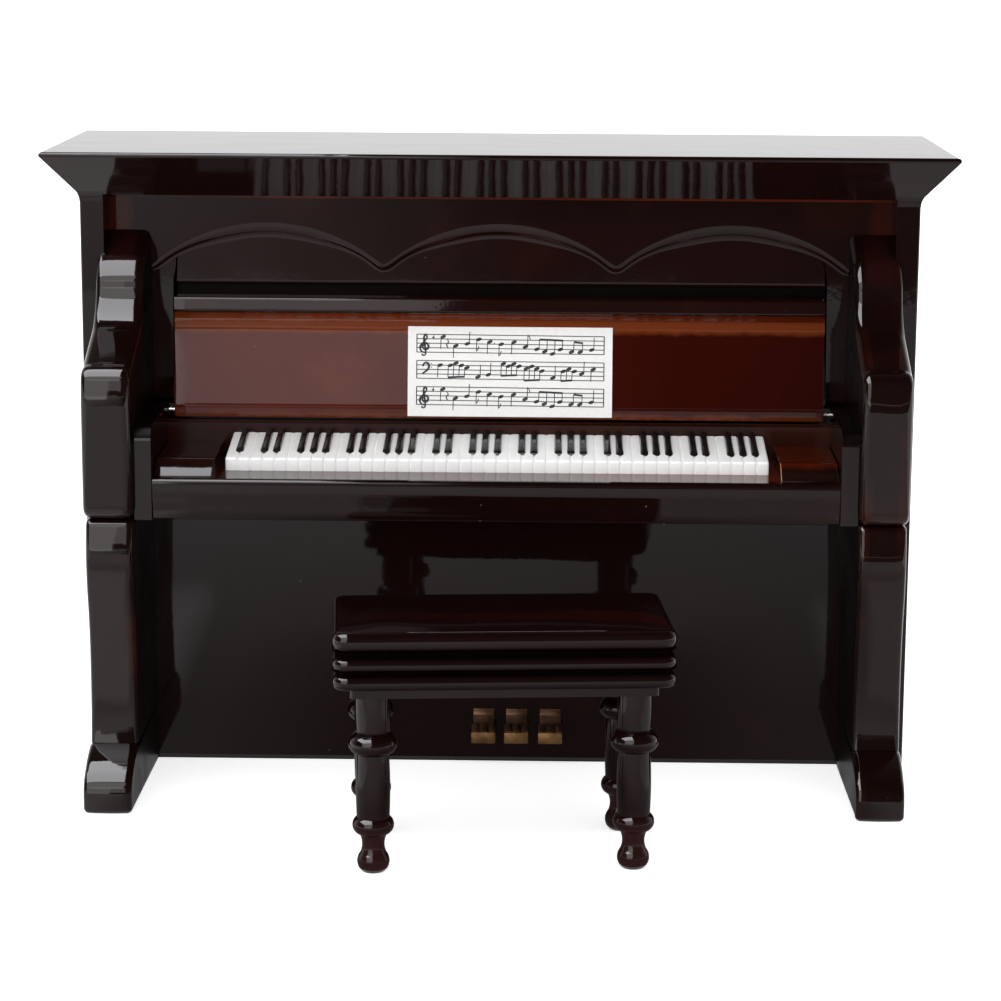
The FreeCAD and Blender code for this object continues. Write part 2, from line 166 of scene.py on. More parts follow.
def lacquer(name, deep, thin, thin_share, grain_share=0.3, right=None, sheen=1.0, rough=1.0,
            bands=(), wave=1.0, bulge=None):
    """Thick gloss lacquer over stained wood: deep colour, thin patches, orange peel and dust.

    right is the colour at the right-hand end, when the colour drifts along the piece.
    bands are (axis, level, soft width, colour): beyond the level the colour turns to another one.
    A negative width means below the level. Along X the level is counted outwards from the middle.
    bulge is a (low, high) range of heights over which the lacquer rounds a sloping face.
    """
    material, tree, shader, where = new_material(name)
    along = place_coordinates(tree, (0.12, 1, 1))
    split = tree.nodes.new("ShaderNodeSeparateXYZ")
    tree.links.new(where, split.inputs["Vector"])
    blotch = remap(tree, noise(tree, where, 55, 3, 0.6), 0.62 - thin_share, 0.9 - thin_share)
    grain = remap(tree, noise(tree, along, 900, 3, 0.65), 0.35, 0.75, 0, grain_share)
    thinness = maths(tree, "MULTIPLY", blotch, maths(tree, "ADD", 0.7, grain))
    colour = mixed(tree, thinness, deep, thin)
    if right is not None:
        colour = mixed(tree, remap(tree, split.outputs["X"], -0.040, 0.030, 0, 0.93), colour, right)
    for axis, level, width, band in bands:
        wander = maths(tree, "SUBTRACT", noise(tree, where, 240, 4, 0.6), 0.5)
        outward = maths(tree, "ABSOLUTE", split.outputs[axis], 0)
        place = maths(tree, "ADD", outward, maths(tree, "MULTIPLY", wander, BAND_RAGGEDNESS))
        colour = mixed(tree, remap(tree, place, level, level + width), colour, band)
    speck = remap(tree, cells(tree, where, 330), 0.035, 0.02)
    dust = maths(tree, "MULTIPLY", speck, remap(tree, noise(tree, where, 140, 0), 0.60, 0.66))
    haze = remap(tree, noise(tree, where, 35, 4, 0.7), 0.35, 0.75, 0.03 * rough, 0.07 * rough)
    layers = [
        (noise(tree, where, 70, 1), 6.0e-5 * wave),
        (noise(tree, where, 620, 2), 4.5e-6),
        (dust, 3.0e-5),
    ]
    if bulge is not None:
        share = remap(tree, split.outputs["Z"], *bulge)
        steepness = remap(tree, share, 0, 1, *BULGE_SLOPES)
        layers.append((maths(tree, "MULTIPLY", share, steepness), bulge[1] - bulge[0]))
    finish(tree, shader, layers, {
        "Base Color": mixed(tree, dust, colour, DUST_COLOUR),
        "Roughness": maths(tree, "ADD", haze, maths(tree, "MULTIPLY", dust, 0.3)),
        "IOR": LACQUER_IOR,
        "Specular IOR Level": 0.5 * sheen,
    })
    return material


def key_plastic(name, colour, shade, rough, sheen):
    """Moulded plastic with faint mottling and a soft sheen."""
    material, tree, shader, where = new_material(name)
    patch = remap(tree, noise(tree, where, 260, 3, 0.6), 0.4, 0.7)
    finish(tree, shader, [(noise(tree, where, 900, 2), 6.0e-6)], {
        "Base Color": mixed(tree, patch, colour, shade),
        "Roughness": remap(tree, noise(tree, where, 700, 2), 0.3, 0.7, rough * 0.8, rough * 1.3),
        "IOR": 1.49,
        "Specular IOR Level": 0.5 * sheen,
    })
    return material


def cast_brass(name, bright, dark):
    """Dull bronze-coloured casting with darker hollows."""
    material, tree, shader, where = new_material(name)
    stain = remap(tree, noise(tree, where, 500, 4, 0.65), 0.35, 0.7)
    finish(tree, shader, [(noise(tree, where, 1800, 3), 2.0e-5)], {
        "Base Color": mixed(tree, stain, bright, dark),
        "Metallic": 0.85,
        "Roughness": remap(tree, noise(tree, where, 1500, 2), 0.3, 0.7, 0.34, 0.55),
    })
    return material


def bright_wire():
    material, tree, shader, where = new_material("pin_bright_wire", (1, 8, 8))
    finish(tree, shader, [(noise(tree, where, 2500, 2), 3.0e-6)], {
        "Base Color": mixed(tree, noise(tree, where, 900, 2), (0.40, 0.38, 0.36), (0.60, 0.58, 0.55)),
        "Metallic": 1.0,
        "Roughness": remap(tree, noise(tree, where, 1400, 2), 0.3, 0.7, 0.16, 0.3),
    })
    return material


def paper():
    """Smooth coated paper with a little fibre."""
    material, tree, shader, where = new_material("sheet_paper")
    fibre = remap(tree, noise(tree, where, 1300, 4, 0.7), 0.35, 0.7)
    finish(tree, shader, [(noise(tree, where, 2200, 3), 6.0e-6)], {
        "Base Color": mixed(tree, fibre, (0.78, 0.77, 0.755), (0.73, 0.72, 0.705)),
        "Roughness": remap(tree, fibre, 0, 1, 0.55, 0.7),
    })
    return material


def ink():
    """Printed black that breaks up a little, as on a shrunken print."""
    material, tree, shader, where = new_material("printed_ink")
    fade = remap(tree, noise(tree, where, 3500, 2), 0.5, 0.8)
    finish(tree, shader, [(noise(tree, where, 3000, 1), 2.0e-6)], {
        "Base Color": mixed(tree, fade, (0.006, 0.006, 0.007), (0.05, 0.05, 0.05)),
        "Roughness": 0.6,
    })
    return material


DARK = (0.0062, 0.0020, 0.0017)
DARK_WHERE_THIN = (0.015, 0.0036, 0.0022)
CASE_LACQUER = lacquer("case_dark_lacquer", DARK, DARK_WHERE_THIN, 0.03)
CORNICE_LACQUER = lacquer("cornice_lacquer", DARK, DARK_WHERE_THIN, 0.03, bulge=(0.101, 0.108))
ARM_LACQUER = lacquer("arm_thick_lacquer", DARK, DARK_WHERE_THIN, 0.03, wave=4.2,
                      bands=(("Z", 0.0860, 0.0020, (0.0125, 0.0030, 0.0026)),))
# Painted shade: a darker, dull copy of the case lacquer for faces that lie in shade and mirror dark
# surroundings: the boards' inner sides, the cheeks' tops, the strip under the valance and the stool's
# hollows.
DULL_SHADE_LACQUER = lacquer("dull_painted_shade_lacquer", (0.0030, 0.0014, 0.0012), (0.008, 0.0026, 0.0018), 0.02,
                       sheen=0.12, rough=7.0)
EDGE_LACQUER = lacquer("case_edge_lacquer", (0.0058, 0.0020, 0.0015), (0.028, 0.0055, 0.0028), 0.10)
PANEL_LACQUER = lacquer("panel_brown_lacquer", (0.0090, 0.0024, 0.0017), (0.024, 0.0055, 0.003), 0.06,
                        bands=(("X", 0.0632, 0.0018, (0.034, 0.0060, 0.0024)),))
STAIN_LACQUER = lacquer("thin_orange_lacquer", (0.018, 0.0036, 0.0016), (0.07, 0.012, 0.004), 0.2, 0.5,
                        right=(0.085, 0.012, 0.003))
# Painted light: the fallboard's red is lighter at the left end and darker to the right, as if lit from the
# left. The band above 76.5 mm is a painted reflection of the lip's orange underside; the band along the
# lower edge is wear.
FALLBOARD_PAINTED_LIGHT_LACQUER = lacquer("fallboard_red_lacquer_with_painted_light", (0.072, 0.0072, 0.0020), (0.10, 0.014, 0.0035), 0.12, 0.6,
                      right=(0.0225, 0.0013, 0.0003),
                      bands=(("Z", 0.0765, 0.0010, (0.14, 0.027, 0.0060)),
                             ("Z", 0.0633, -0.0008, (0.10, 0.020, 0.006))))
LIP_LACQUER = lacquer("lip_brown_lacquer", (0.0095, 0.0026, 0.0019), (0.022, 0.0055, 0.003), 0.06)
COVE_LACQUER = lacquer("cove_orange_lacquer", (0.13, 0.022, 0.005), (0.17, 0.035, 0.008), 0.15, 0.5,
                       right=(0.070, 0.010, 0.0025))
SHELF_LACQUER = lacquer("shelf_red_lacquer", (0.022, 0.0045, 0.0022), (0.05, 0.010, 0.003), 0.12, 0.5,
                        right=(0.085, 0.0085, 0.0018))
BLOCK_LACQUER = lacquer("key_block_lacquer", (0.016, 0.0040, 0.0022), (0.035, 0.0075, 0.003), 0.08, 0.5,
                        right=(0.062, 0.0075, 0.0018), sheen=0.75,
                        bands=(("Z", 0.0581, -0.0010, (0.0095, 0.0028, 0.0019)),))
# Partly wear and partly a painted highlight: a pale orange streak for the right key block's rounded edge.
WORN_HIGHLIGHT_LACQUER = lacquer("worn_edge_and_painted_highlight_lacquer", (0.12, 0.022, 0.006), (0.45, 0.22, 0.10), 0.30, 0.6)
POCKET_LACQUER = lacquer("pocket_red_lacquer", (0.030, 0.0065, 0.0035), (0.05, 0.011, 0.005), 0.12, 0.5,
                         sheen=0.4, rough=3.0)
NAME_LACQUER = lacquer("nameboard_lacquer", (0.020, 0.0055, 0.0035), (0.045, 0.011, 0.005), 0.12, 0.5,
                       sheen=0.5, rough=3.0)
STOOL_LACQUER = lacquer("stool_dark_lacquer", (0.0060, 0.0018, 0.0018), (0.012, 0.0034, 0.0028), 0.02,
                        bands=(("Z", 0.0100, -0.0040, (0.0165, 0.0052, 0.0048)),))
WHITE_KEY = key_plastic("white_key_plastic", (0.93, 0.93, 0.925), (0.89, 0.89, 0.89), 0.40, 0.4)
BLACK_KEY = key_plastic("black_key_plastic", (0.006, 0.006, 0.006), (0.016, 0.015, 0.015), 0.13, 0.8)
# Two copies of one brass: the bright one for the pedals' lit front and worn top edge, the dark one, partly
# tarnish and partly painted shade, for the faces that show dark.
BRASS = cast_brass("pedal_cast_brass", (0.29, 0.155, 0.060), (0.10, 0.05, 0.022))
TARNISH_AND_SHADE = cast_brass("pedal_tarnished_and_shaded_brass", (0.085, 0.042, 0.022), (0.022, 0.011, 0.007))
WIRE = bright_wire()
PAPER = paper()
INK = ink()


# ---------------------------------------------------------------- mesh helpers
def added(name, data):
    """A new object in the scene."""
    thing = bpy.data.objects.new(name, data)
    bpy.context.scene.collection.objects.link(thing)
    return thing


def piece(name, mesh, materials, body):
    """A new visible piece in the row frame, on its body and material slot."""
    thing = added(name, mesh)
    for material in materials:
        mesh.materials.append(material)
    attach(thing, body)
    return thing


def stand_in(name, node, work, crease_degrees, materials):
    """A piece shown in place of a CAD node, on the node's own body."""
    mesh = finished_mesh(name + "_mesh", work, crease_degrees)
    thing = piece(name, mesh, materials, frame["nodes"][node]["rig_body"])
    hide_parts(node)
    return thing


def reassign(thing, index, wanted):
    """Give the wanted faces of a piece another of its materials."""
    for polygon in thing.data.polygons:
        if wanted(polygon):
            polygon.material_index = index


def finished_mesh(name, work, crease_degrees):
    """Turn a bmesh into a mesh, smooth except across its real creases."""
    bmesh.ops.recalc_face_normals(work, faces=work.faces)
    mesh = bpy.data.meshes.new(name)
    work.to_mesh(mesh)
    work.free()
    mesh.shade_smooth()
    mesh.set_sharp_from_angle(angle=math.radians(crease_degrees))
    return mesh


def rounded(work, width, wanted=lambda edge: True, segments=3, material=0):
    """Round the convex edges of a bmesh that are sharper than 25 degrees."""
    sharp = math.radians(25)
    edges = [
        edge for edge in work.edges
        if len(edge.link_faces) == 2 and edge.is_convex and edge.calc_face_angle() > sharp and wanted(edge)
    ]
    bmesh.ops.bevel(work, geom=edges, offset=width, segments=segments, profile=0.5,
                    affect="EDGES", clamp_overlap=True, material=material)


def walled(work, first, second):
    """Close the space between two matching loops of vertices."""
    work.faces.new(first)
    work.faces.new(list(reversed(second)))
    count = len(first)
    for i in range(count):
        j = (i + 1) % count
        work.faces.new((first[i], second[i], second[j], first[j]))


def prism(work, outline_yz, x_low, x_high):
    """Add a closed side outline of (y, z) points pushed out over an X range."""
    walled(work, *[[work.verts.new((x, y, z)) for y, z in outline_yz] for x in (x_low, x_high)])


def lofted(work, rings, slot_of=lambda row, j: 0):
    """Skin a row of closed rings and cap its ends. slot_of gives each face's material slot."""
    for row, (near, far) in enumerate(zip(rings, rings[1:])):
        for j in range(len(near)):
            k = (j + 1) % len(near)
            work.faces.new((near[j], near[k], far[k], far[j])).material_index = slot_of(row, j)
    work.faces.new(rings[0])
    work.faces.new(list(reversed(rings[-1])))


def evened(thing):
    """Shade flat faces flat and keep the rounding inside the narrow rounded strips."""
    even = thing.modifiers.new("even_shading", "WEIGHTED_NORMAL")
    even.keep_sharp = True
    even.weight = 50
    return thing


def softened(node, width, materials, wanted):
    """A copy of a CAD node with the wanted sharp edges rounded."""
    work = bmesh.new()
    work.from_mesh(frame["nodes"][node].data)
    bmesh.ops.remove_doubles(work, verts=work.verts, dist=1e-6)
    bmesh.ops.dissolve_limit(work, angle_limit=math.radians(1.0), verts=work.verts, edges=work.edges)
    rounded(work, width, wanted)
    return evened(stand_in(node + "_soft", node, work, 38, materials))


def repaint(node, material):
    """Give a CAD node that is shown as it is a finished material."""
    mesh = frame["nodes"][node].data
    mesh.materials.clear()
    mesh.materials.append(material)


# ---------------------------------------------------------------- outlines in side view
def arc(start, middle, end, step):
    """Points along the arc through three (setback, z) points, the first left out."""
    (ax, ay), (bx, by), (cx, cy) = start, middle, end
    spread = 2 * (ax * (by - cy) + bx * (cy - ay) + cx * (ay - by))
    a2 = ax * ax + ay * ay
    b2 = bx * bx + by * by
    c2 = cx * cx + cy * cy
    centre_x = (a2 * (by - cy) + b2 * (cy - ay) + c2 * (ay - by)) / spread
    centre_y = (a2 * (cx - bx) + b2 * (ax - cx) + c2 * (bx - ax)) / spread
    radius = math.hypot(ax - centre_x, ay - centre_y)
    first = math.atan2(ay - centre_y, ax - centre_x)
    last = math.atan2(cy - centre_y, cx - centre_x)
    turn = (last - first) % (2 * math.pi)
    if (math.atan2(by - centre_y, bx - centre_x) - first) % (2 * math.pi) > turn:
        turn -= 2 * math.pi
    count = max(2, math.ceil(abs(turn) * radius / step))
    return [
        (centre_x + radius * math.cos(first + turn * i / count),
         centre_y + radius * math.sin(first + turn * i / count))
        for i in range(1, count + 1)
    ]


def traced(steps, step=0.3):
    """Closely spaced points along an outline. Each step is a point, or a (middle, end) pair for an arc."""
    points = [steps[0]]
    for target in steps[1:]:
        start = points[-1]
        if isinstance(target[0], tuple):
            points += arc(start, target[0], target[1], step)
        else:
            count = max(1, math.ceil(math.dist(start, target) / step))
            points += [
                tuple(start[k] + (target[k] - start[k]) * i / count for k in (0, 1))
                for i in range(1, count + 1)
            ]
    return points


def eased(points, rounds):
    """The same path with its corners eased off a little, its ends kept."""
    for _ in range(rounds):
        inner = [
            tuple((a[k] + 2 * b[k] + c[k]) / 4 for k in (0, 1))
            for a, b, c in zip(points, points[1:], points[2:])
        ]
        points = [points[0]] + inner + [points[-1]]
    return points


def inward_normals(points):
    """Unit normals to the right of the direction of travel."""
    ends = [points[0]] + points + [points[-1]]
    normals = []
    for before, after in zip(ends, ends[2:]):
        run = (after[0] - before[0], after[1] - before[1])
        length = math.hypot(*run)
        normals.append((-run[1] / length, run[0] / length))
    return normals


CORNER_STEPS = 7
CORNER_POINTS = CORNER_STEPS + 2


def crowned_section(x_low, x_high, edge_round, crown):
    """(x, depth) pairs across a board: rounded corners and a faintly crowned middle."""
    corner = [(0, crown + edge_round + 0.2)]
    for i in range(CORNER_STEPS + 1):
        turn = math.radians(90) * i / CORNER_STEPS
        corner.append((edge_round * (1 - math.cos(turn)), crown + edge_round * (1 - math.sin(turn))))
    middle = []
    for i in range(1, 8):
        share = i / 8
        x = x_low + edge_round + (x_high - x_low - 2 * edge_round) * share
        middle.append((x, crown * (2 * share - 1) ** 2))
    near = [(x_low + x, depth) for x, depth in corner]
    far = [(x_high - x, depth) for x, depth in reversed(corner)]
    return near + middle + far


# Slots of a swept board: its glossy face, its rounded edges, and the dark dull lacquer painted as shade on
# its inner side and on the faces against the case.
FACE_SLOT = 0
EDGE_SLOT = 1
SHADE_SLOT = 2


def crowned_board(node, steps, rear, x_range, edge_round=0.95, crown=0.07):
    """A board whose front outline is swept across with rounded edges. rear closes the outline behind."""
    side = 1 if node.endswith("right") else -1
    path = eased(traced(steps), 4)
    section = crowned_section(*x_range, edge_round, crown)
    work = bmesh.new()

    def vertex(x, setback, z):
        return work.verts.new((side * x * MM, CASE_FRONT_Y + setback * MM, z * MM))

    rows = []
    for (setback, z), (across, up) in zip(path, inward_normals(path)):
        rows.append([vertex(x, setback + across * depth, z + up * depth) for x, depth in section])
    for near, far in zip(rows, rows[1:]):
        for j in range(len(section) - 1):
            face = work.faces.new((near[j], near[j + 1], far[j + 1], far[j]))
            on_corner = j < CORNER_POINTS or j > len(section) - CORNER_POINTS - 2
            face.material_index = SHADE_SLOT if j == 0 else EDGE_SLOT if on_corner else FACE_SLOT
    backs = []
    for column, x, slot in ((0, x_range[0], SHADE_SLOT), (-1, x_range[1], FACE_SLOT)):
        backs.append([vertex(x, setback, z) for setback, z in rear])
        work.faces.new([row[column] for row in rows] + backs[-1]).material_index = slot
    inner, outer = backs
    for i in range(len(rear) - 1):
        work.faces.new((inner[i], inner[i + 1], outer[i + 1], outer[i])).material_index = SHADE_SLOT
    work.faces.new(rows[-1] + [outer[0], inner[0]]).material_index = SHADE_SLOT
    work.faces.new(rows[0] + [outer[-1], inner[-1]]).material_index = SHADE_SLOT
    stand_in(node + "_swept", node, work, 50, (ARM_LACQUER, EDGE_LACQUER, DULL_SHADE_LACQUER))


def side_profile(node, outline, width, materials, wanted=lambda edge: True):
    """A straight rail with a (setback, z) side outline and softened edges in the second material."""
    low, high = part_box(node)
    work = bmesh.new()
    points = [(CASE_FRONT_Y + setback * MM, z * MM) for setback, z in outline]
    prism(work, points, low.x, high.x)
    bmesh.ops.recalc_face_normals(work, faces=work.faces)
    rounded(work, width, wanted, material=1)
    return evened(stand_in(node + "_shaped", node, work, 50, materials))


SLIP_OUTLINE = traced([
    (-16.9, 55.5), (-18.9, 55.5), ((-19.25, 55.35), (-19.4, 55.0)), (-19.4, 53.5),
    ((-19.35, 52.6), (-19.2, 51.8)), (-18.95, 48.9), (-18.5, 48.5), (-16.9, 48.5),
], 1.5)


CORNICE_FOOT_Z = 101.0
BEAD_FOOT_Z = CORNICE_FOOT_Z - 1.1
BEAD_RADIUS = 3.1


def build_cornice_bead(hand, side):
    """Lacquer that fills the corner where the flared top board meets the side board."""
    low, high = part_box("side_panel_right")
    profile = [(-0.2, BEAD_FOOT_Z)]
    for i in range(9):
        turn = math.radians(40) * i / 8
        profile.append((BEAD_RADIUS * (1 - math.cos(turn)), BEAD_FOOT_Z + BEAD_RADIUS * math.sin(turn)))
    profile.append((-0.2, CORNICE_FOOT_Z + 0.8))
    work = bmesh.new()
    rows = []
    for out, z in profile:
        front = low.y - out * MM
        outside = high.x + out * MM
        corners = [(low.x, front), (outside, front), (outside, high.y)]
        rows.append([work.verts.new((side * x, y, z * MM)) for x, y in corners])
    for near, far in zip(rows, rows[1:] + rows[:1]):
        for j in (0, 1):
            work.faces.new((near[j], near[j + 1], far[j + 1], far[j]))
    for j in (0, 2):
        work.faces.new([row[j] for row in rows])
    mesh = finished_mesh("bead_mesh", work, 50)
    piece("cornice_bead_" + hand, mesh, [CASE_LACQUER], "case")


def build_pocket_strip():
    """The red-stained rail seen through the slot between the nameboard and the open fallboard."""
    low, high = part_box("nameboard")
    panel_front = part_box("upper_front_panel")[0].y
    outline = [(high.y + 0.02 * MM, 58.0 * MM), (panel_front, 58.0 * MM), (panel_front, 61.2 * MM),
               (high.y + 0.6 * MM, 61.5 * MM), (high.y + 0.05 * MM, 61.5 * MM)]
    work = bmesh.new()
    prism(work, outline, low.x + 0.05 * MM, high.x - 0.05 * MM)
    piece("pocket_rail", finished_mesh("pocket_mesh", work, 38), [POCKET_LACQUER], "case")


def build_slip():
    """The rail across the front, its face undercut a little towards the bottom."""
    side_profile("key_slip", SLIP_OUTLINE, 0.2 * MM, (CASE_LACQUER, CASE_LACQUER),
                 lambda edge: abs(edge.verts[0].co.x - edge.verts[1].co.x) < 1e-6)


def build_key_block(side):
    """The block beside the keys: flat on top, one long slope to the front. On the right one the rounded left
    edge of the slope turns pale, partly wear and partly a painted highlight.
    """
    node = "key_block_" + side
    outline = [(3.0, 55.5), (3.0, 58.0), (-13.2, 58.0), (-13.9, 57.8), (-16.75, 55.75), (-17.0, 55.5)]
    edge_round = 0.3 * MM
    block = side_profile(node, outline, edge_round, (BLOCK_LACQUER, BLOCK_LACQUER, WORN_HIGHLIGHT_LACQUER))
    if side == "right":
        left_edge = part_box(node)[0].x + edge_round
        slope_back = CASE_FRONT_Y - 13.5 * MM
        # Partly wear and partly painted highlight: the right block's rounded left edge along its slope.
        reassign(block, 2, lambda polygon: polygon.material_index == 1 and polygon.center.x < left_edge
                 and polygon.center.y < slope_back)


ARM_FRONT = [
    (7.5, 94.3), (-0.6, 90.9),
    ((-2.02, 89.38), (-3.1, 87.6)), ((-3.42, 86.83), (-3.55, 86.0)), ((-5.22, 82.2), (-8.3, 79.4)),
    (-19.2, 74.7),
    ((-21.25, 74.05), (-22.2, 72.3)), ((-22.5, 69.8), (-22.6, 67.2)), ((-22.68, 58.5), (-22.6, 51.0)),
    ((-22.0, 49.6), (-20.6, 49.0)),
]
LEG_FRONT = [
    (-18.8, 49.0), (-19.8, 49.0),
    ((-20.75, 48.5), (-21.2, 47.3)), ((-21.75, 44.3), (-21.95, 41.2)), ((-21.5, 37.0), (-20.6, 33.0)),
    ((-19.45, 22.5), (-20.4, 10.0)),
]
TOE_FRONT = [
    (-19.4, 10.0), (-20.4, 10.0),
    ((-23.4, 8.9), (-26.2, 7.2)), ((-28.2, 5.2), (-28.8, 2.5)), (-28.8, 0.5), ((-28.65, 0.15), (-28.3, 0.0)),
]
BOARD_INNER_X = 60.5
PANEL_SETBACK = 4.9


# ---------------------------------------------------------------- case
def build_case():
    for node in ("side_panel_left", "side_panel_right", "back_panel", "bottom_board",
                 "lower_front_panel"):
        repaint(node, CASE_LACQUER)
    repaint("upper_front_panel", PANEL_LACQUER)
    repaint("nameboard", NAME_LACQUER)
    repaint("keybed", SHELF_LACQUER)
    repaint("top_cornice", CORNICE_LACQUER)
    build_pocket_strip()
    build_slip()
    build_cornice_bead("left", -1)
    build_cornice_bead("right", 1)
    for side in ("left", "right"):
        crowned_board("arm_" + side, ARM_FRONT, [(PANEL_SETBACK, 49.0), (PANEL_SETBACK, 51.5), (7.5, 51.5)],
                      (BOARD_INNER_X, 68.7), 1.2)
        crowned_board("leg_" + side, LEG_FRONT, [(PANEL_SETBACK, 10.0), (PANEL_SETBACK, 49.0)],
                      (BOARD_INNER_X, 68.5))
        crowned_board("toe_" + side, TOE_FRONT, [(PANEL_SETBACK, 0.0), (PANEL_SETBACK, 10.0)],
                      (BOARD_INNER_X, 68.7))
        front_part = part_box("cheek_" + side)[0].y + 27 * MM
        cheek = softened("cheek_" + side, 0.6 * MM, (CASE_LACQUER, DULL_SHADE_LACQUER),
                         lambda edge: min(v.co.y for v in edge.verts) < front_part)
        # Painted shade: the cheek's upward-facing top takes the dark dull lacquer.
        reassign(cheek, 1, lambda polygon: polygon.normal.z > 0.25)
        build_key_block(side)


# ---------------------------------------------------------------- arched valance
ARCH_CHORD = 40.3
ARCH_VALLEY_Z = 86.6
ARCH_APEX_Z = 94.2
VALANCE_DEPTH = 1.5
INFILL_DEPTH = 0.55
BAND_RISE = 1.5
NOSE_TILT = math.radians(21)
STEP_ROUND = 0.3
CUSP_SHARPNESS = 3.0
STAIN_LINE_Z = 99.9
INFILL_BOTTOM_Z = 84.85
INFILL_END_X = 57.0
CHEEK_TOP_Z = 64.3
LIP_BACK_Z = 82.9


def arch_edge(x):
    """Height of the valance's lower edge: three equal arches with slightly blunted cusps."""
    rise = ARCH_APEX_Z - ARCH_VALLEY_Z
    radius = ((ARCH_CHORD / 2) ** 2 + rise ** 2) / (2 * rise)
    heights = [ARCH_VALLEY_Z]
    for arch in (-1, 0, 1):
        reach = radius ** 2 - (x - arch * ARCH_CHORD) ** 2
        if reach > 0:
            heights.append(ARCH_APEX_Z - radius + math.sqrt(reach))
    peak = max(heights)
    return peak + math.log(sum(math.exp(CUSP_SHARPNESS * (h - peak)) for h in heights)) / CUSP_SHARPNESS


def valance_section(x):
    """(drop, depth) pairs over the soft nose, down a small step and out through the cove.

    The moulding is broad at the tops of the arches and narrow, with a sharper step, at their ends.
    """
    off_centre = min(abs(x - arch * ARCH_CHORD) for arch in (-1, 0, 1)) / (ARCH_CHORD / 2)
    share = min(1, max(0, off_centre - 0.25) / 0.65)
    share = share * share * (3 - 2 * share)
    step_tilt = math.radians(30 + 25 * share)
    section = [(-0.1, 0.0)]
    drop = 0.0
    depth = 0.0
    for radius, first, last in (
        (4.2 - 2.6 * share, 0, NOSE_TILT),
        (STEP_ROUND, NOSE_TILT, step_tilt),
        (-2.2 + 1.5 * share, step_tilt, 0),
    ):
        for i in range(1, 9):
            turn = first + (last - first) * i / 8
            section.append((drop + radius * (math.sin(turn) - math.sin(first)),
                            depth + radius * (math.cos(first) - math.cos(turn))))
        drop, depth = section[-1]
    section.append((drop + 0.15, depth))
    return [(d, h * INFILL_DEPTH / depth) for d, h in section]


def build_valance():
    """The arched board, buried in lacquer so that the arches stand only a little proud of their infill."""
    low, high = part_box("arch_valance")
    half = high.x / MM
    count = round(2 * half / 0.3)
    work = bmesh.new()
    rings = []
    for i in range(count + 1):
        x = -half + 2 * half * i / count
        z = arch_edge(x) + BAND_RISE
        slope = (arch_edge(x + 0.05) - arch_edge(x - 0.05)) / 0.1
        length = math.hypot(1, slope)
        down = (slope / length, -1 / length)
        ring = [(x, 0, high.z / MM), (x, 0, STAIN_LINE_Z)]
        for drop, depth in valance_section(x):
            reach = min(half, max(-half, x + down[0] * drop))
            ring.append((reach, depth, z + down[1] * drop))
        beside_fallboard = abs(x) > INFILL_END_X
        foot = CHEEK_TOP_Z + 0.1 if beside_fallboard else INFILL_BOTTOM_Z
        for depth, height in ((0, 0.8), (0, 0.6), (0.04, 0.3), (0.3, 0.0)):
            ring.append((x, INFILL_DEPTH + depth, foot + height))
        shadow_foot = foot - 0.05 if beside_fallboard else LIP_BACK_Z
        ring.append((x, VALANCE_DEPTH - 0.05, foot))
        ring.append((x, VALANCE_DEPTH - 0.05, shadow_foot))
        ring.append((x, VALANCE_DEPTH, shadow_foot))
        ring.append((x, VALANCE_DEPTH, high.z / MM))
        rings.append([work.verts.new((px * MM, low.y + depth * MM, pz * MM)) for px, depth, pz in ring])
    # Painted shade: the faces after the infill, the strip set back to the panel's face down to the lip's
    # back and the back itself, take the dark dull lacquer as the shadow under the valance.
    dull = len(rings[0]) - 4
    lofted(work, rings, lambda row, j: 1 if j == 0 else 2 if j >= dull else 0)
    materials = (PANEL_LACQUER, STAIN_LACQUER, DULL_SHADE_LACQUER)
    stand_in("arch_valance_coved", "arch_valance", work, 50, materials)


# ---------------------------------------------------------------- keyboard
WHITE_KEYS = 44
KEY_FRONT_DROP = 2.2
KEY_RISE = 2.0
KEY_GAP = 0.03
GROOVE = 0.21
BLACK_KEY_FRONT = 1.7
BLACK_KEY_FOOT = 0.72
BLACK_KEY_CROWN = 0.44
DRIP_LIFT = 0.035


def build_white_keys():
    low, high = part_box("white_key_strip")
    pitch = (high.x - low.x) / WHITE_KEYS
    chance = random.Random(11)
    work = bmesh.new()
    for i in range(WHITE_KEYS):
        left = low.x + i * pitch + KEY_GAP / 2 * MM
        sag = chance.uniform(0, 0.05) * MM
        outline_yz = [
            (low.y + sag, low.z),
            (high.y, low.z),
            (high.y, high.z - sag),
            (low.y + sag, low.z + KEY_FRONT_DROP * MM - sag),
        ]
        prism(work, outline_yz, left, left + pitch - KEY_GAP * MM)
    bmesh.ops.recalc_face_normals(work, faces=work.faces)
    rounded(work, 0.38 * MM, lambda edge: max(v.co.z for v in edge.verts) > low.z + 0.1 * MM, segments=5)
    inset = GROOVE * MM
    web_outline = [
        (low.y + inset, low.z),
        (high.y, low.z),
        (high.y, high.z - inset),
        (low.y + inset, low.z + KEY_FRONT_DROP * MM - inset),
    ]
    prism(work, web_outline, low.x + inset, high.x - inset)
    stand_in("white_keys_moulded", "white_key_strip", work, 50, [WHITE_KEY])


def black_key_gaps():
    """Gaps between white keys that carry a black key, counted from the left."""
    gaps = [1]
    for start in range(2, WHITE_KEYS, 7):
        gaps += [start + step for step in (1, 2, 4, 5, 6)]
    return [gap for gap in gaps if gap < WHITE_KEYS]


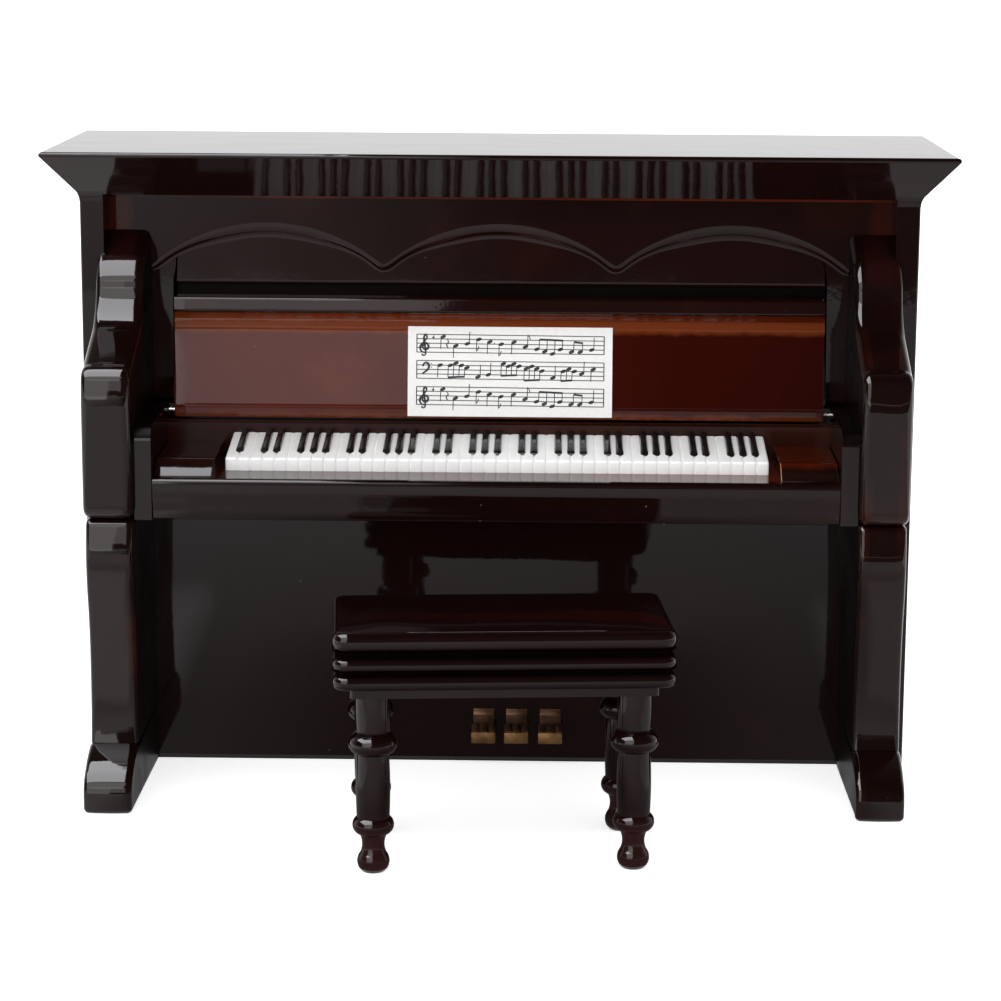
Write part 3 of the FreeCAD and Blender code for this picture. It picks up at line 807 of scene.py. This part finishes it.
def build_black_keys():
    """Raised keys with narrower tops, and a drip of paint at each front."""
    white_low, white_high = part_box("white_key_strip")
    low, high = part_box("black_keys")
    pitch = (white_high.x - white_low.x) / WHITE_KEYS
    chance = random.Random(5)
    slope = KEY_RISE * MM / (white_high.y - white_low.y)
    rise = high.z - white_high.z
    crest = BLACK_KEY_FRONT * MM

    def top(y):
        return white_high.z - slope * (white_high.y - y)

    work = bmesh.new()
    for gap in black_key_gaps():
        x = white_low.x + gap * pitch + chance.uniform(-0.05, 0.05) * MM
        front = low.y + chance.uniform(0, 0.25) * MM
        corners = []
        for y, z, half in (
            (front, top(front) - 0.05 * MM, BLACK_KEY_FOOT),
            (front + crest, top(front + crest) + rise * 0.95, BLACK_KEY_CROWN),
            (high.y, top(high.y) + rise * 0.98, BLACK_KEY_CROWN),
            (high.y, top(high.y) - 0.05 * MM, BLACK_KEY_FOOT),
        ):
            corners.append((work.verts.new((x - half * MM, y, z)), work.verts.new((x + half * MM, y, z))))
        walled(work, [pair[0] for pair in corners], [pair[1] for pair in corners])
    bmesh.ops.recalc_face_normals(work, faces=work.faces)
    rounded(work, 0.17 * MM, segments=4)
    for gap in black_key_gaps():
        x = white_low.x + gap * pitch + chance.uniform(-0.05, 0.05) * MM
        front = low.y + chance.uniform(0.0, 0.15) * MM
        reach = chance.uniform(0.45, 0.8) * MM
        lean = chance.uniform(0.05, 0.3) * MM
        drip = [(x - 0.5 * MM, front + 0.5 * MM), (x - 0.42 * MM, front), (x + lean, front - reach),
                (x + 0.5 * MM, front + 0.05 * MM), (x + 0.5 * MM, front + 0.5 * MM)]
        walled(work, *[[work.verts.new((px, py, top(py) + lift * MM)) for px, py in drip]
                       for lift in (DRIP_LIFT, -DRIP_LIFT)])
    stand_in("black_keys_painted", "black_keys", work, 45, [BLACK_KEY])


# ---------------------------------------------------------------- fallboard
HINGE = (CASE_FRONT_Y / MM + 4.5, 63.2)
FALLBOARD_LEAN = math.radians(9.5)
FALLBOARD_HALF = 56.4
END_PULL = 0.25


def leaned(x, depth, height):
    """A place on the open fallboard: depth behind and height above the hinge line, before it leans back."""
    return (
        x * MM,
        (HINGE[0] + depth * math.cos(FALLBOARD_LEAN) + height * math.sin(FALLBOARD_LEAN)) * MM,
        (HINGE[1] - depth * math.sin(FALLBOARD_LEAN) + height * math.cos(FALLBOARD_LEAN)) * MM,
    )


def leaned_rail(name, node, section, materials, edge_round):
    """A (depth, height) section run the width of the fallboard, drawn in a little at both ends."""
    work = bmesh.new()
    middle = [sum(point[k] for point in section) / len(section) for k in (0, 1)]
    end = []
    for i in range(5):
        turn = math.radians(22.5 * i)
        end.append((-FALLBOARD_HALF + edge_round * (1 - math.cos(turn)), END_PULL * (1 - math.sin(turn))))
    first = -FALLBOARD_HALF + edge_round
    between = [(first - 2 * first * i / 60, 0) for i in range(1, 60)]
    rings = []
    for x, pull in end + between + [(-x, pull) for x, pull in reversed(end)]:
        ring = []
        for depth, height in section:
            away = math.hypot(depth - middle[0], height - middle[1])
            share = min(1, pull / away)
            ring.append(work.verts.new(leaned(x, depth + (middle[0] - depth) * share,
                                              height + (middle[1] - height) * share)))
        rings.append(ring)
    lofted(work, rings)
    return stand_in(name, node, work, 40, materials)


def board_section():
    """The fallboard's section: a flat face that curves back towards its worn lower edge."""
    face = []
    for i in range(15):
        height = -0.95 + 2.65 * i / 14
        face.append((-1 + 0.05 * (1.7 - height) ** 2, height))
    face.append((-1.0, 8.0))
    for i in range(9):
        height = 13.0 + 2.4 * i / 8
        face.append((-1 - 0.035 * (height - 13.0) ** 2, height))
    face.append((-1.2, 19.6))
    heel = [(1.0, 19.6), (1.0, -0.8), (0.7, -1.2), (-0.1, -1.25), (-0.5, -1.17)]
    return face + heel


def lip_section():
    """The lip rail: a square nose with soft edges over a hollow that runs down to the fallboard."""
    top = 19.6
    bottom = 16.9
    front = -4.0
    brow = 0.45
    chin = 0.5
    neck = -2.8
    hollow = 1.8
    section = [(-1.0, top), (front + brow, top)]
    for turn in map(math.radians, range(15, 91, 15)):
        section.append((front + brow * (1 - math.sin(turn)), top - brow * (1 - math.cos(turn))))
    section.append((front, bottom + chin))
    for turn in map(math.radians, range(18, 91, 18)):
        section.append((front + chin * (1 - math.cos(turn)), bottom + chin * (1 - math.sin(turn))))
    section.append((neck, bottom))
    for turn in map(math.radians, range(15, 91, 15)):
        section.append((neck + hollow * math.sin(turn), bottom - hollow * (1 - math.cos(turn))))
    return section


def build_fallboard():
    leaned_rail("fallboard_curved", "fallboard", board_section(), [FALLBOARD_PAINTED_LIGHT_LACQUER], 0.5)
    lip = leaned_rail("fallboard_lip_coved", "fallboard_lip", lip_section(), (LIP_LACQUER, COVE_LACQUER),
                      0.4)
    under = leaned(0, -3.4, 16.95)[2]
    reassign(lip, 1, lambda polygon: polygon.center.z < under)
    repaint("music_sheet", PAPER)
    for side in ("left", "right"):
        repaint("pivot_pin_" + side, WIRE)


class SheetPlane:
    """Places flat marks on the music sheet's face. u runs right and v up, in millimetres from its corner."""

    def __init__(self):
        mesh = frame["nodes"]["music_sheet"].data
        faces = [polygon for polygon in mesh.polygons if polygon.normal.y < -0.5]
        normal = faces[0].normal
        corners = [mesh.vertices[i].co for polygon in faces for i in polygon.vertices]
        low_z = min(corner.z for corner in corners)
        self.corner = min((c for c in corners if c.z < low_z + 1e-6), key=lambda c: c.x)
        self.right = Vector((1, 0, 0))
        self.up = normal.cross(self.right).normalized()
        if self.up.z < 0:
            self.up = -self.up
        self.normal = normal

    def at(self, u, v, lift):
        return self.corner + self.right * u * MM + self.up * v * MM + self.normal * lift * MM


INK_LIFT = 0.02
LINE_WIDTH = 0.18
STAFF_WIDTH = 32.5
STAFF_HEIGHT = 3.1
STAFF_LEFT = 1.55
STAFF_BASES = (11.15, 6.6, 2.05)
SHEET_SKEW = -0.006


class Printer:
    """Collects closed flat strokes, slightly raised, for one ink mesh."""

    def __init__(self, plane):
        self.plane = plane
        self.work = bmesh.new()

    def flat(self, points):
        loops = [
            [self.work.verts.new(self.plane.at(u, v + SHEET_SKEW * u, lift)) for u, v in points]
            for lift in (INK_LIFT, -INK_LIFT)
        ]
        walled(self.work, *loops)

    def line(self, start, end, width=LINE_WIDTH):
        direction = Vector((end[0] - start[0], end[1] - start[1])).normalized()
        side = Vector((-direction.y, direction.x)) * width / 2
        self.flat([(start[0] + side.x, start[1] + side.y), (start[0] - side.x, start[1] - side.y),
                   (end[0] - side.x, end[1] - side.y), (end[0] + side.x, end[1] + side.y)])

    def blob(self, u, v, long_half=0.52, short_half=0.29, tilt=0.35):
        points = []
        for i in range(12):
            turn = 2 * math.pi * i / 12
            a = long_half * math.cos(turn)
            b = short_half * math.sin(turn)
            points.append((u + a * math.cos(tilt) - b * math.sin(tilt),
                           v + a * math.sin(tilt) + b * math.cos(tilt)))
        self.flat(points)

    def stroke(self, points, width):
        """A curved stroke through a few points, drawn as short overlapping bars."""
        smooth = []
        ends = [points[0]] + points + [points[-1]]
        for a, b, c, d in zip(ends, ends[1:], ends[2:], ends[3:]):
            for i in range(6):
                t = i / 6
                smooth.append(tuple(
                    0.5 * (2 * b[k] + (c[k] - a[k]) * t + (2 * a[k] - 5 * b[k] + 4 * c[k] - d[k]) * t * t
                           + (3 * b[k] - a[k] - 3 * c[k] + d[k]) * t ** 3)
                    for k in (0, 1)))
        smooth.append(points[-1])
        for i, (start, end) in enumerate(zip(smooth, smooth[1:])):
            swell = 0.6 + 0.6 * math.sin(math.pi * i / len(smooth))
            self.line(start, end, width * swell)


def staff(printer, base):
    """Five lines closed by a bar at each end."""
    for i in range(5):
        v = base + STAFF_HEIGHT * i / 4
        printer.line((STAFF_LEFT, v), (STAFF_LEFT + STAFF_WIDTH, v), 0.15)
    for u in (STAFF_LEFT, STAFF_LEFT + STAFF_WIDTH):
        printer.line((u, base), (u, base + STAFF_HEIGHT))


def shifted(points, u, base):
    return [(u + across, base + up) for across, up in points]


def treble_clef(printer, u, base):
    curl = ((1.25, 1.0), (0.8, 1.25), (1.0, 0.55), (1.7, 0.6), (1.75, 1.35), (1.0, 1.6), (0.35, 0.95),
            (0.6, 0.15), (1.4, -0.1))
    stem = ((0.45, 0.8), (0.9, 1.7), (1.55, 2.5), (1.3, 3.1), (1.0, 2.4), (1.25, 0.9), (1.3, -0.35),
            (0.8, -0.6))
    printer.stroke(shifted(curl, u, base), 0.34)
    printer.stroke(shifted(stem, u, base), 0.30)
    printer.blob(u + 0.75, base - 0.42, 0.18, 0.18)


def bass_clef(printer, u, base):
    hook = ((0.45, 2.3), (0.9, 2.75), (1.5, 2.45), (1.35, 1.6), (0.4, 0.85))
    printer.stroke(shifted(hook, u, base), 0.36)
    printer.blob(u + 0.5, base + 2.25, 0.2, 0.2)
    for v in (2.6, 1.95):
        printer.blob(u + 1.95, base + v, 0.1, 0.1)


def note(printer, u, base, step, stem, length=2.1):
    """A filled note head on a staff step (0 is the bottom line) with its stem up (1) or down (-1)."""
    v = base + step * STAFF_HEIGHT / 8
    tip = (u + 0.42 * stem, v + length * stem)
    printer.blob(u, v)
    printer.line((u + 0.36 * stem, v), tip, 0.15)
    return tip


def beamed(printer, u, base, steps, stem, gap):
    """A run of notes joined by one sloping beam."""
    tips = [note(printer, u + i * gap, base, step, stem, 1.7) for i, step in enumerate(steps)]
    level = max(tip[1] * stem for tip in tips) * stem
    printer.line((tips[0][0], level), (tips[-1][0], level - 0.15 * stem), 0.34)
    for tip in tips:
        printer.line(tip, (tip[0], level), 0.15)


def flagged(printer, u, base, step, stem):
    """A single note whose stem ends in a curved flag."""
    tip = note(printer, u, base, step, stem)
    printer.stroke([tip, (tip[0] + 0.3, tip[1] - 0.45 * stem), (tip[0] + 0.42, tip[1] - 0.95 * stem)], 0.14)


# Each row is a kind of note, its place along the staff, its staff step or steps, its stem, and a beam's gap.
UPPER_NOTES = (
    (note, 8.3, 3, -1), (note, 10.3, 4, 1), (flagged, 12.3, 6, -1), (note, 14.2, 5, -1),
    (flagged, 16.2, 4, -1), (note, 18.4, 5, -1), (flagged, 20.4, 3, 1),
    (beamed, 22.4, (2, 1, 0, 2), 1, 1.35), (beamed, 28.4, (1, 1), 1, 1.5), (note, 31.9, 2, 1),
)
LOWER_NOTES = (
    (note, 5.6, 6, -1), (beamed, 7.4, (6, 7, 6, 5), -1, 0.95), (note, 12.2, 1, 1), (note, 14.0, 2, 1),
    (beamed, 16.6, (7, 6, 7, 6), -1, 0.9), (beamed, 20.6, (5, 6, 5, 4), -1, 0.9), (note, 25.2, 1, 1),
    (beamed, 27.0, (4, 5, 4), -1, 0.95), (note, 30.2, 3, 1), (note, 32.2, 5, -1),
)


def notes(printer, base, rows):
    for kind, u, *rest in rows:
        kind(printer, u, base, *rest)


def upper_voice(printer, base):
    """A treble staff's marks: clef, a small sign, a note, a rest, then a run of notes and a dot."""
    treble_clef(printer, STAFF_LEFT + 0.2, base)
    printer.line((4.5, base + 2.2), (4.5, base + 3.1), 0.12)
    printer.blob(4.4, base + 2.6, 0.24, 0.14)
    note(printer, 6.1, base, 7, -1)
    printer.stroke(shifted(((6.75, 2.4), (7.05, 1.8), (6.7, 1.4), (7.0, 0.7)), 0, base), 0.2)
    notes(printer, base, UPPER_NOTES)
    printer.blob(15.0, base + 1.7, 0.1, 0.1)


def lower_voice(printer, base):
    bass_clef(printer, STAFF_LEFT + 0.6, base)
    notes(printer, base, LOWER_NOTES)


def build_sheet_print():
    """Invented notation: two treble staves with a bass staff between them."""
    printer = Printer(SheetPlane())
    for base in STAFF_BASES:
        staff(printer, base)
    upper_voice(printer, STAFF_BASES[0])
    lower_voice(printer, STAFF_BASES[1])
    upper_voice(printer, STAFF_BASES[2])
    mesh = finished_mesh("print_mesh", printer.work, 38)
    piece("printed_staves", mesh, [INK], "fallboard")


# ---------------------------------------------------------------- pedals
PLATE_HALF = 1.9
PLATE_DEPTH = 1.1
NOSE_DEPTH = 0.9
TONGUE_SLOT = 0.28


def build_pedal(node):
    """A cast pedal: a plate with a sloped brow, and a slotted tongue running down to a square nose."""
    low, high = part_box(node)
    middle = (low.x + high.x) / 2
    wall = high.y
    plate_front = wall - PLATE_DEPTH * MM
    work = bmesh.new()
    prism(work, [
        (plate_front, low.z), (wall, low.z), (wall, high.z),
        (wall - 0.35 * MM, high.z), (plate_front, high.z - 0.85 * MM),
    ], middle - PLATE_HALF * MM, middle + PLATE_HALF * MM)
    nose_low = low.z + 1.05 * MM
    nose_high = low.z + 3.05 * MM
    nose_back = low.y + NOSE_DEPTH * MM
    prism(work, [
        (low.y, nose_low), (nose_back, nose_low), (nose_back, nose_high), (low.y, nose_high),
    ], low.x, high.x)
    root = wall - 1.0 * MM

    def tongue(left, right, root_rise, nose_drop):
        prism(work, [
            (nose_back - 0.2 * MM, nose_low), (root, nose_low),
            (root, nose_high + root_rise * MM), (nose_back - 0.2 * MM, nose_high - nose_drop * MM),
        ], left, right)

    rib = (high.x - low.x - 2 * TONGUE_SLOT * MM) / 3
    for i in range(3):
        left = low.x + i * (rib + TONGUE_SLOT * MM)
        tongue(left, left + rib, 0.9, 0.05)
    tongue(low.x + 0.1 * MM, high.x - 0.1 * MM, 0.35, 0.6)
    bmesh.ops.recalc_face_normals(work, faces=work.faces)
    rounded(work, 0.16 * MM, segments=2)
    cast = stand_in(node + "_cast", node, work, 38, (TARNISH_AND_SHADE, BRASS))
    # Painted light: the nose's front and the plate's worn top edge take the bright brass, every other face
    # the dark copy as painted shade.
    plate_top = high.z - 0.12 * MM
    reassign(cast, 1, lambda polygon: polygon.center.y < nose_back or polygon.center.z > plate_top)


# ---------------------------------------------------------------- stool
STOOL_CENTRE = (1.4, -44.4)
STOOL_YAW = math.radians(4.3)
SEAT_SIZE = (53.8, 27.4)
SEAT_CORNER = 2.4


def stool_place(x, y, z):
    """A place on the stool, drawn about its own centre, in the row frame."""
    return (
        (STOOL_CENTRE[0] + x * math.cos(STOOL_YAW) - y * math.sin(STOOL_YAW)) * MM,
        CASE_FRONT_Y + (STOOL_CENTRE[1] + x * math.sin(STOOL_YAW) + y * math.cos(STOOL_YAW)) * MM,
        z * MM,
    )


def rounded_loop(size, inset, corner):
    """(x, y) points round a rectangle drawn in by inset, with rounded corners."""
    radius = max(0.3, corner - inset)
    reach_x = size[0] / 2 - inset - radius
    reach_y = size[1] / 2 - inset - radius
    arcs = []
    for quarter, (sx, sy) in enumerate(((1, 1), (-1, 1), (-1, -1), (1, -1))):
        turns = [math.radians(90 * quarter + 90 * i / 8) for i in range(9)]
        arcs.append([(sx * reach_x + radius * math.cos(turn), sy * reach_y + radius * math.sin(turn))
                     for turn in turns])
    loop = []
    for here, there in zip(arcs, arcs[1:] + arcs[:1]):
        loop += here
        (ax, ay), (bx, by) = here[-1], there[0]
        loop += [(ax + (bx - ax) * i / 24, ay + (by - ay) * i / 24) for i in range(1, 24)]
    return loop


def moulded_board(node, hollow, bead):
    """A seat board: (inset, z) rows run round a rounded rectangle, a hollow under a bright bead. The hollow
    takes the dark dull lacquer as painted shade.
    """
    work = bmesh.new()
    rings = []
    for inset, z in hollow + bead:
        loop = rounded_loop(SEAT_SIZE, inset, SEAT_CORNER)
        rings.append([work.verts.new(stool_place(x, y, z)) for x, y in loop])
    dull = max(0, len(hollow) - 1)
    lofted(work, rings, lambda row, j: 1 if row < dull else 0)
    stand_in(node + "_moulded", node, work, 50, (STOOL_LACQUER, DULL_SHADE_LACQUER))


def hollow_rows(z_low, z_high, deep):
    """A concave hollow from deep inside out to the rim, rising from z_low to z_high."""
    rows = []
    for i in range(7):
        turn = math.radians(90) * i / 6
        rows.append((deep * math.cos(turn), z_low + (z_high - z_low) * math.sin(turn)))
    return rows


def bead_rows(z_low, z_high, squareness=0.8):
    """A rounded rim from its underside to its top, fuller than a half circle."""
    rows = []
    half = (z_high - z_low) / 2
    for i in range(17):
        turn = math.radians(-90 + 180 * i / 16)
        reach = math.cos(turn) ** squareness if math.cos(turn) > 1e-6 else 0
        rows.append((half * 0.85 * (1 - reach), z_low + half + half * math.sin(turn)))
    return rows


LEG_HEIGHT = 28.8
LEG_SIDES = 48
LEG_SPREAD = (20.6, 9.9)
LEG_PROFILE = traced([
    (1.8, 0.0), ((2.5, 1.1), (2.1, 3.0)), ((1.78, 4.4), (2.2, 6.1)), ((3.3, 7.5), (2.6, 8.9)),
    ((2.72, 14.0), (2.55, 19.2)), ((3.85, 21.0), (2.6, 22.6)), (2.75, 23.0),
    ((2.82, 26.0), (2.75, LEG_HEIGHT)),
], 0.2)


def turned_leg(node, side_x, side_y):
    """A turned leg: bun foot, neck, ring, long barrel, collar and round shoulder, a little out of true."""
    chance = random.Random(node)
    lean = (chance.uniform(-0.10, 0.10), chance.uniform(-0.08, 0.08))
    work = bmesh.new()
    rings = []
    for radius, z in LEG_PROFILE:
        off = 1 - z / LEG_HEIGHT
        x = side_x * LEG_SPREAD[0] + lean[0] * off
        y = side_y * LEG_SPREAD[1] + lean[1] * off
        turns = [2 * math.pi * i / LEG_SIDES for i in range(LEG_SIDES)]
        rings.append([
            work.verts.new(stool_place(x + radius * math.cos(turn), y + radius * math.sin(turn), z))
            for turn in turns
        ])
    lofted(work, rings)
    stand_in(node + "_turned", node, work, 50, [STOOL_LACQUER])


def build_stool():
    for node, thing in frame["nodes"].items():
        if thing["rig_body"] == "stool":
            repaint(node, STOOL_LACQUER)
    moulded_board("stool_seat_lower", [], bead_rows(30.1, 32.35))
    moulded_board("stool_seat_middle", hollow_rows(32.35, 33.1, 1.3), bead_rows(33.1, 35.1))
    moulded_board("stool_seat_top", hollow_rows(35.1, 36.2, 1.5), bead_rows(36.2, 39.3, 0.7))
    for row, side_y in (("front", -1), ("back", 1)):
        for hand, side_x in (("left", -1), ("right", 1)):
            turned_leg("stool_leg_" + row + "_" + hand, side_x, side_y)


# ---------------------------------------------------------------- stage
def card(name, size, centre, facing, strength, colour):
    """A soft light panel of a given radiance, facing a point, that shows only in reflections."""
    light = bpy.data.lights.new(name, "AREA")
    light.shape = "RECTANGLE"
    light.size = size[0]
    light.size_y = size[1]
    light.energy = strength * math.pi * size[0] * size[1]
    light.color = colour
    lamp = added(name, light)
    lamp.location = centre
    lamp.rotation_euler = (Vector(facing) - Vector(centre)).to_track_quat("-Z", "Y").to_euler()
    lamp.visible_diffuse = False


def stage_plane(name, corners, material):
    mesh = bpy.data.meshes.new(name)
    mesh.from_pydata(corners, [], [tuple(range(len(corners)))])
    mesh.materials.append(material)
    plane = added(name, mesh)
    return plane


def floor_material():
    material, tree, shader, where = new_material("pale_floor")
    finish(tree, shader, [], {
        "Base Color": mixed(tree, noise(tree, where, 6, 2), (0.82, 0.82, 0.82), (0.84, 0.84, 0.84)),
        "Roughness": 0.9,
        "Specular IOR Level": 0.0,
        "Emission Color": (1, 1, 1),
        "Emission Strength": 0.68,
    })
    return material


def flag(name, corners, tone):
    """A glowing sheet just over the floor that shows only in reflections, painting the floor's light and
    shade there. tone gives its brightness from its X and Y.
    """
    material = bpy.data.materials.new(name + "_tone")
    material.use_nodes = True
    tree = material.node_tree
    tree.nodes.clear()
    split = tree.nodes.new("ShaderNodeSeparateXYZ")
    tree.links.new(place_coordinates(tree), split.inputs["Vector"])
    glow = tree.nodes.new("ShaderNodeEmission")
    tree.links.new(tone(tree, split.outputs), glow.inputs["Strength"])
    out = tree.nodes.new("ShaderNodeOutputMaterial")
    tree.links.new(glow.outputs["Emission"], out.inputs["Surface"])
    plane = stage_plane(name, corners, material)
    plane.visible_camera = False
    plane.visible_diffuse = False
    plane.visible_shadow = False
    plane.visible_transmission = False
    return plane


def far_tone(tree, place):
    """Dim at the right, as bright as the floor at the far left."""
    return remap(tree, place["X"], -0.30, 0.0, 1.12, 0.07)


def near_tone(tree, place):
    """The shade the piano and stool throw on the floor, lighter beyond the piano's two legs."""
    x = place["X"]
    y = place["Y"]
    outward = remap(tree, y, -0.05, -0.25, 0.42, 1.0)
    across = remap(tree, x, -0.09, 0.06, 1.12, 0.85)
    from_stool = maths(tree, "ABSOLUTE", maths(tree, "SUBTRACT", x, STOOL_CENTRE[0] * MM), 0)
    stool_width = remap(tree, from_stool, 0.055, 0.022, 0, 0.72)
    stool_depth = remap(tree, y, -0.125, -0.085)
    stool_shade = maths(tree, "SUBTRACT", 1.0, maths(tree, "MULTIPLY", stool_width, stool_depth))
    shade = maths(tree, "MULTIPLY", maths(tree, "MULTIPLY", outward, across), stool_shade)
    left = remap(tree, x, -0.056, -0.068, 0, 1.35)
    right = remap(tree, x, 0.058, 0.068, 0, 0.85)
    fade = remap(tree, y, -0.20, -0.13)
    beside = maths(tree, "MULTIPLY", maths(tree, "ADD", left, right), fade)
    return maths(tree, "MAXIMUM", shade, beside)


def soft_sun(name, elevation, heading, strength, spread):
    """Very wide soft daylight that lights surfaces but is not mirrored in the lacquer."""
    light = bpy.data.lights.new(name, "SUN")
    light.energy = strength
    light.angle = math.radians(spread)
    lamp = added(name, light)
    lamp.rotation_euler = (math.radians(90 - elevation), 0, math.radians(heading))
    lamp.visible_glossy = False


def rectangle(x_low, x_high, y_low, y_high, z):
    return [(x_low, y_low, z), (x_high, y_low, z), (x_high, y_high, z), (x_low, y_high, z)]


FLOOR_REACH = 14.0
FLAG_EDGE_Y = -0.64
CARDS = (
    ("overhead_left_softbox", (0.98, 0.97), (-0.58, -0.365, 0.85), (-0.58, -0.365, 0),
     12.0, (0.96, 0.96, 1.0)),
    ("front_left_high", (1.6, 0.85), (-0.875, -1.6, 1.12), (-0.4, 0, 0.3), 3.6, (1.0, 0.99, 0.98)),
    ("front_left_low", (0.19, 0.54), (-0.17, -1.6, 0.42), (-0.17, 0, 0.42), 2.1, (1.0, 0.96, 0.95)),
    ("front_far_left_low", (1.4, 0.68), (-0.965, -1.6, 0.35), (-0.965, 0, 0.35), 3.1, (1.0, 0.98, 0.97)),
)


def build_world():
    """White surroundings that are bright behind the object and dim above and before it."""
    world = bpy.data.worlds.new("studio")
    world.use_nodes = True
    tree = world.node_tree
    background = next(n for n in tree.nodes if n.type == "BACKGROUND")
    source = tree.nodes.new("ShaderNodeTexCoord")
    split = tree.nodes.new("ShaderNodeSeparateXYZ")
    tree.links.new(source.outputs["Generated"], split.inputs["Vector"])
    backness = remap(tree, split.outputs["Y"], -0.1, 0.45, 0.06, 1.06)
    lowness = remap(tree, split.outputs["Z"], 0.35, 0.75, 1.0, 0.12)
    tree.links.new(maths(tree, "MULTIPLY", backness, lowness), background.inputs["Strength"])
    background.inputs["Color"].default_value = (1, 1, 1, 1)
    bpy.context.scene.world = world


def build_stage():
    floor = rectangle(-FLOOR_REACH, FLOOR_REACH, -FLOOR_REACH, FLOOR_REACH, 0)
    stage_plane("floor", floor, floor_material())
    build_world()
    for row in CARDS:
        card(*row)
    soft_sun("sky_light", 88, 0, 2.7, 160)
    soft_sun("front_fill", 35, -20, 1.25, 100)
    flag("far_floor_flag", rectangle(-6, 6, FLAG_EDGE_Y, -6, 0.002), far_tone)
    flag("near_floor_flag", rectangle(-0.3, 0.3, FLAG_EDGE_Y, CASE_FRONT_Y + 0.0045, 0.0006), near_tone)


LENS_MM = 104.2957
SENSOR_MM = 36.0
CAMERA_PLACE = (8.6 * MM, CASE_FRONT_Y - 493.3 * MM, 148.9 * MM)
CAMERA_YAW = 0.94
CAMERA_PITCH = 11.51
CAMERA_ROLL = -0.33


def build_camera():
    """Looks along +Y, a little down and to the left."""
    lens = bpy.data.cameras.new("camera")
    lens.sensor_width = SENSOR_MM
    lens.lens = LENS_MM
    lens.clip_start = 0.01
    camera = added("camera", lens)
    upright = Matrix.Rotation(math.radians(CAMERA_YAW), 4, "Z")
    tipped = Matrix.Rotation(math.radians(90 - CAMERA_PITCH), 4, "X")
    rolled = Matrix.Rotation(math.radians(-CAMERA_ROLL), 4, "Z")
    camera.matrix_world = Matrix.Translation(CAMERA_PLACE) @ upright @ tipped @ rolled
    bpy.context.scene.camera = camera
    bpy.context.scene.view_settings.view_transform = "Standard"


build_case()
build_valance()
build_white_keys()
build_black_keys()
build_fallboard()
build_sheet_print()
for pedal in ("pedal_left", "pedal_middle", "pedal_right"):
    build_pedal(pedal)
build_stool()
build_stage()
build_camera()
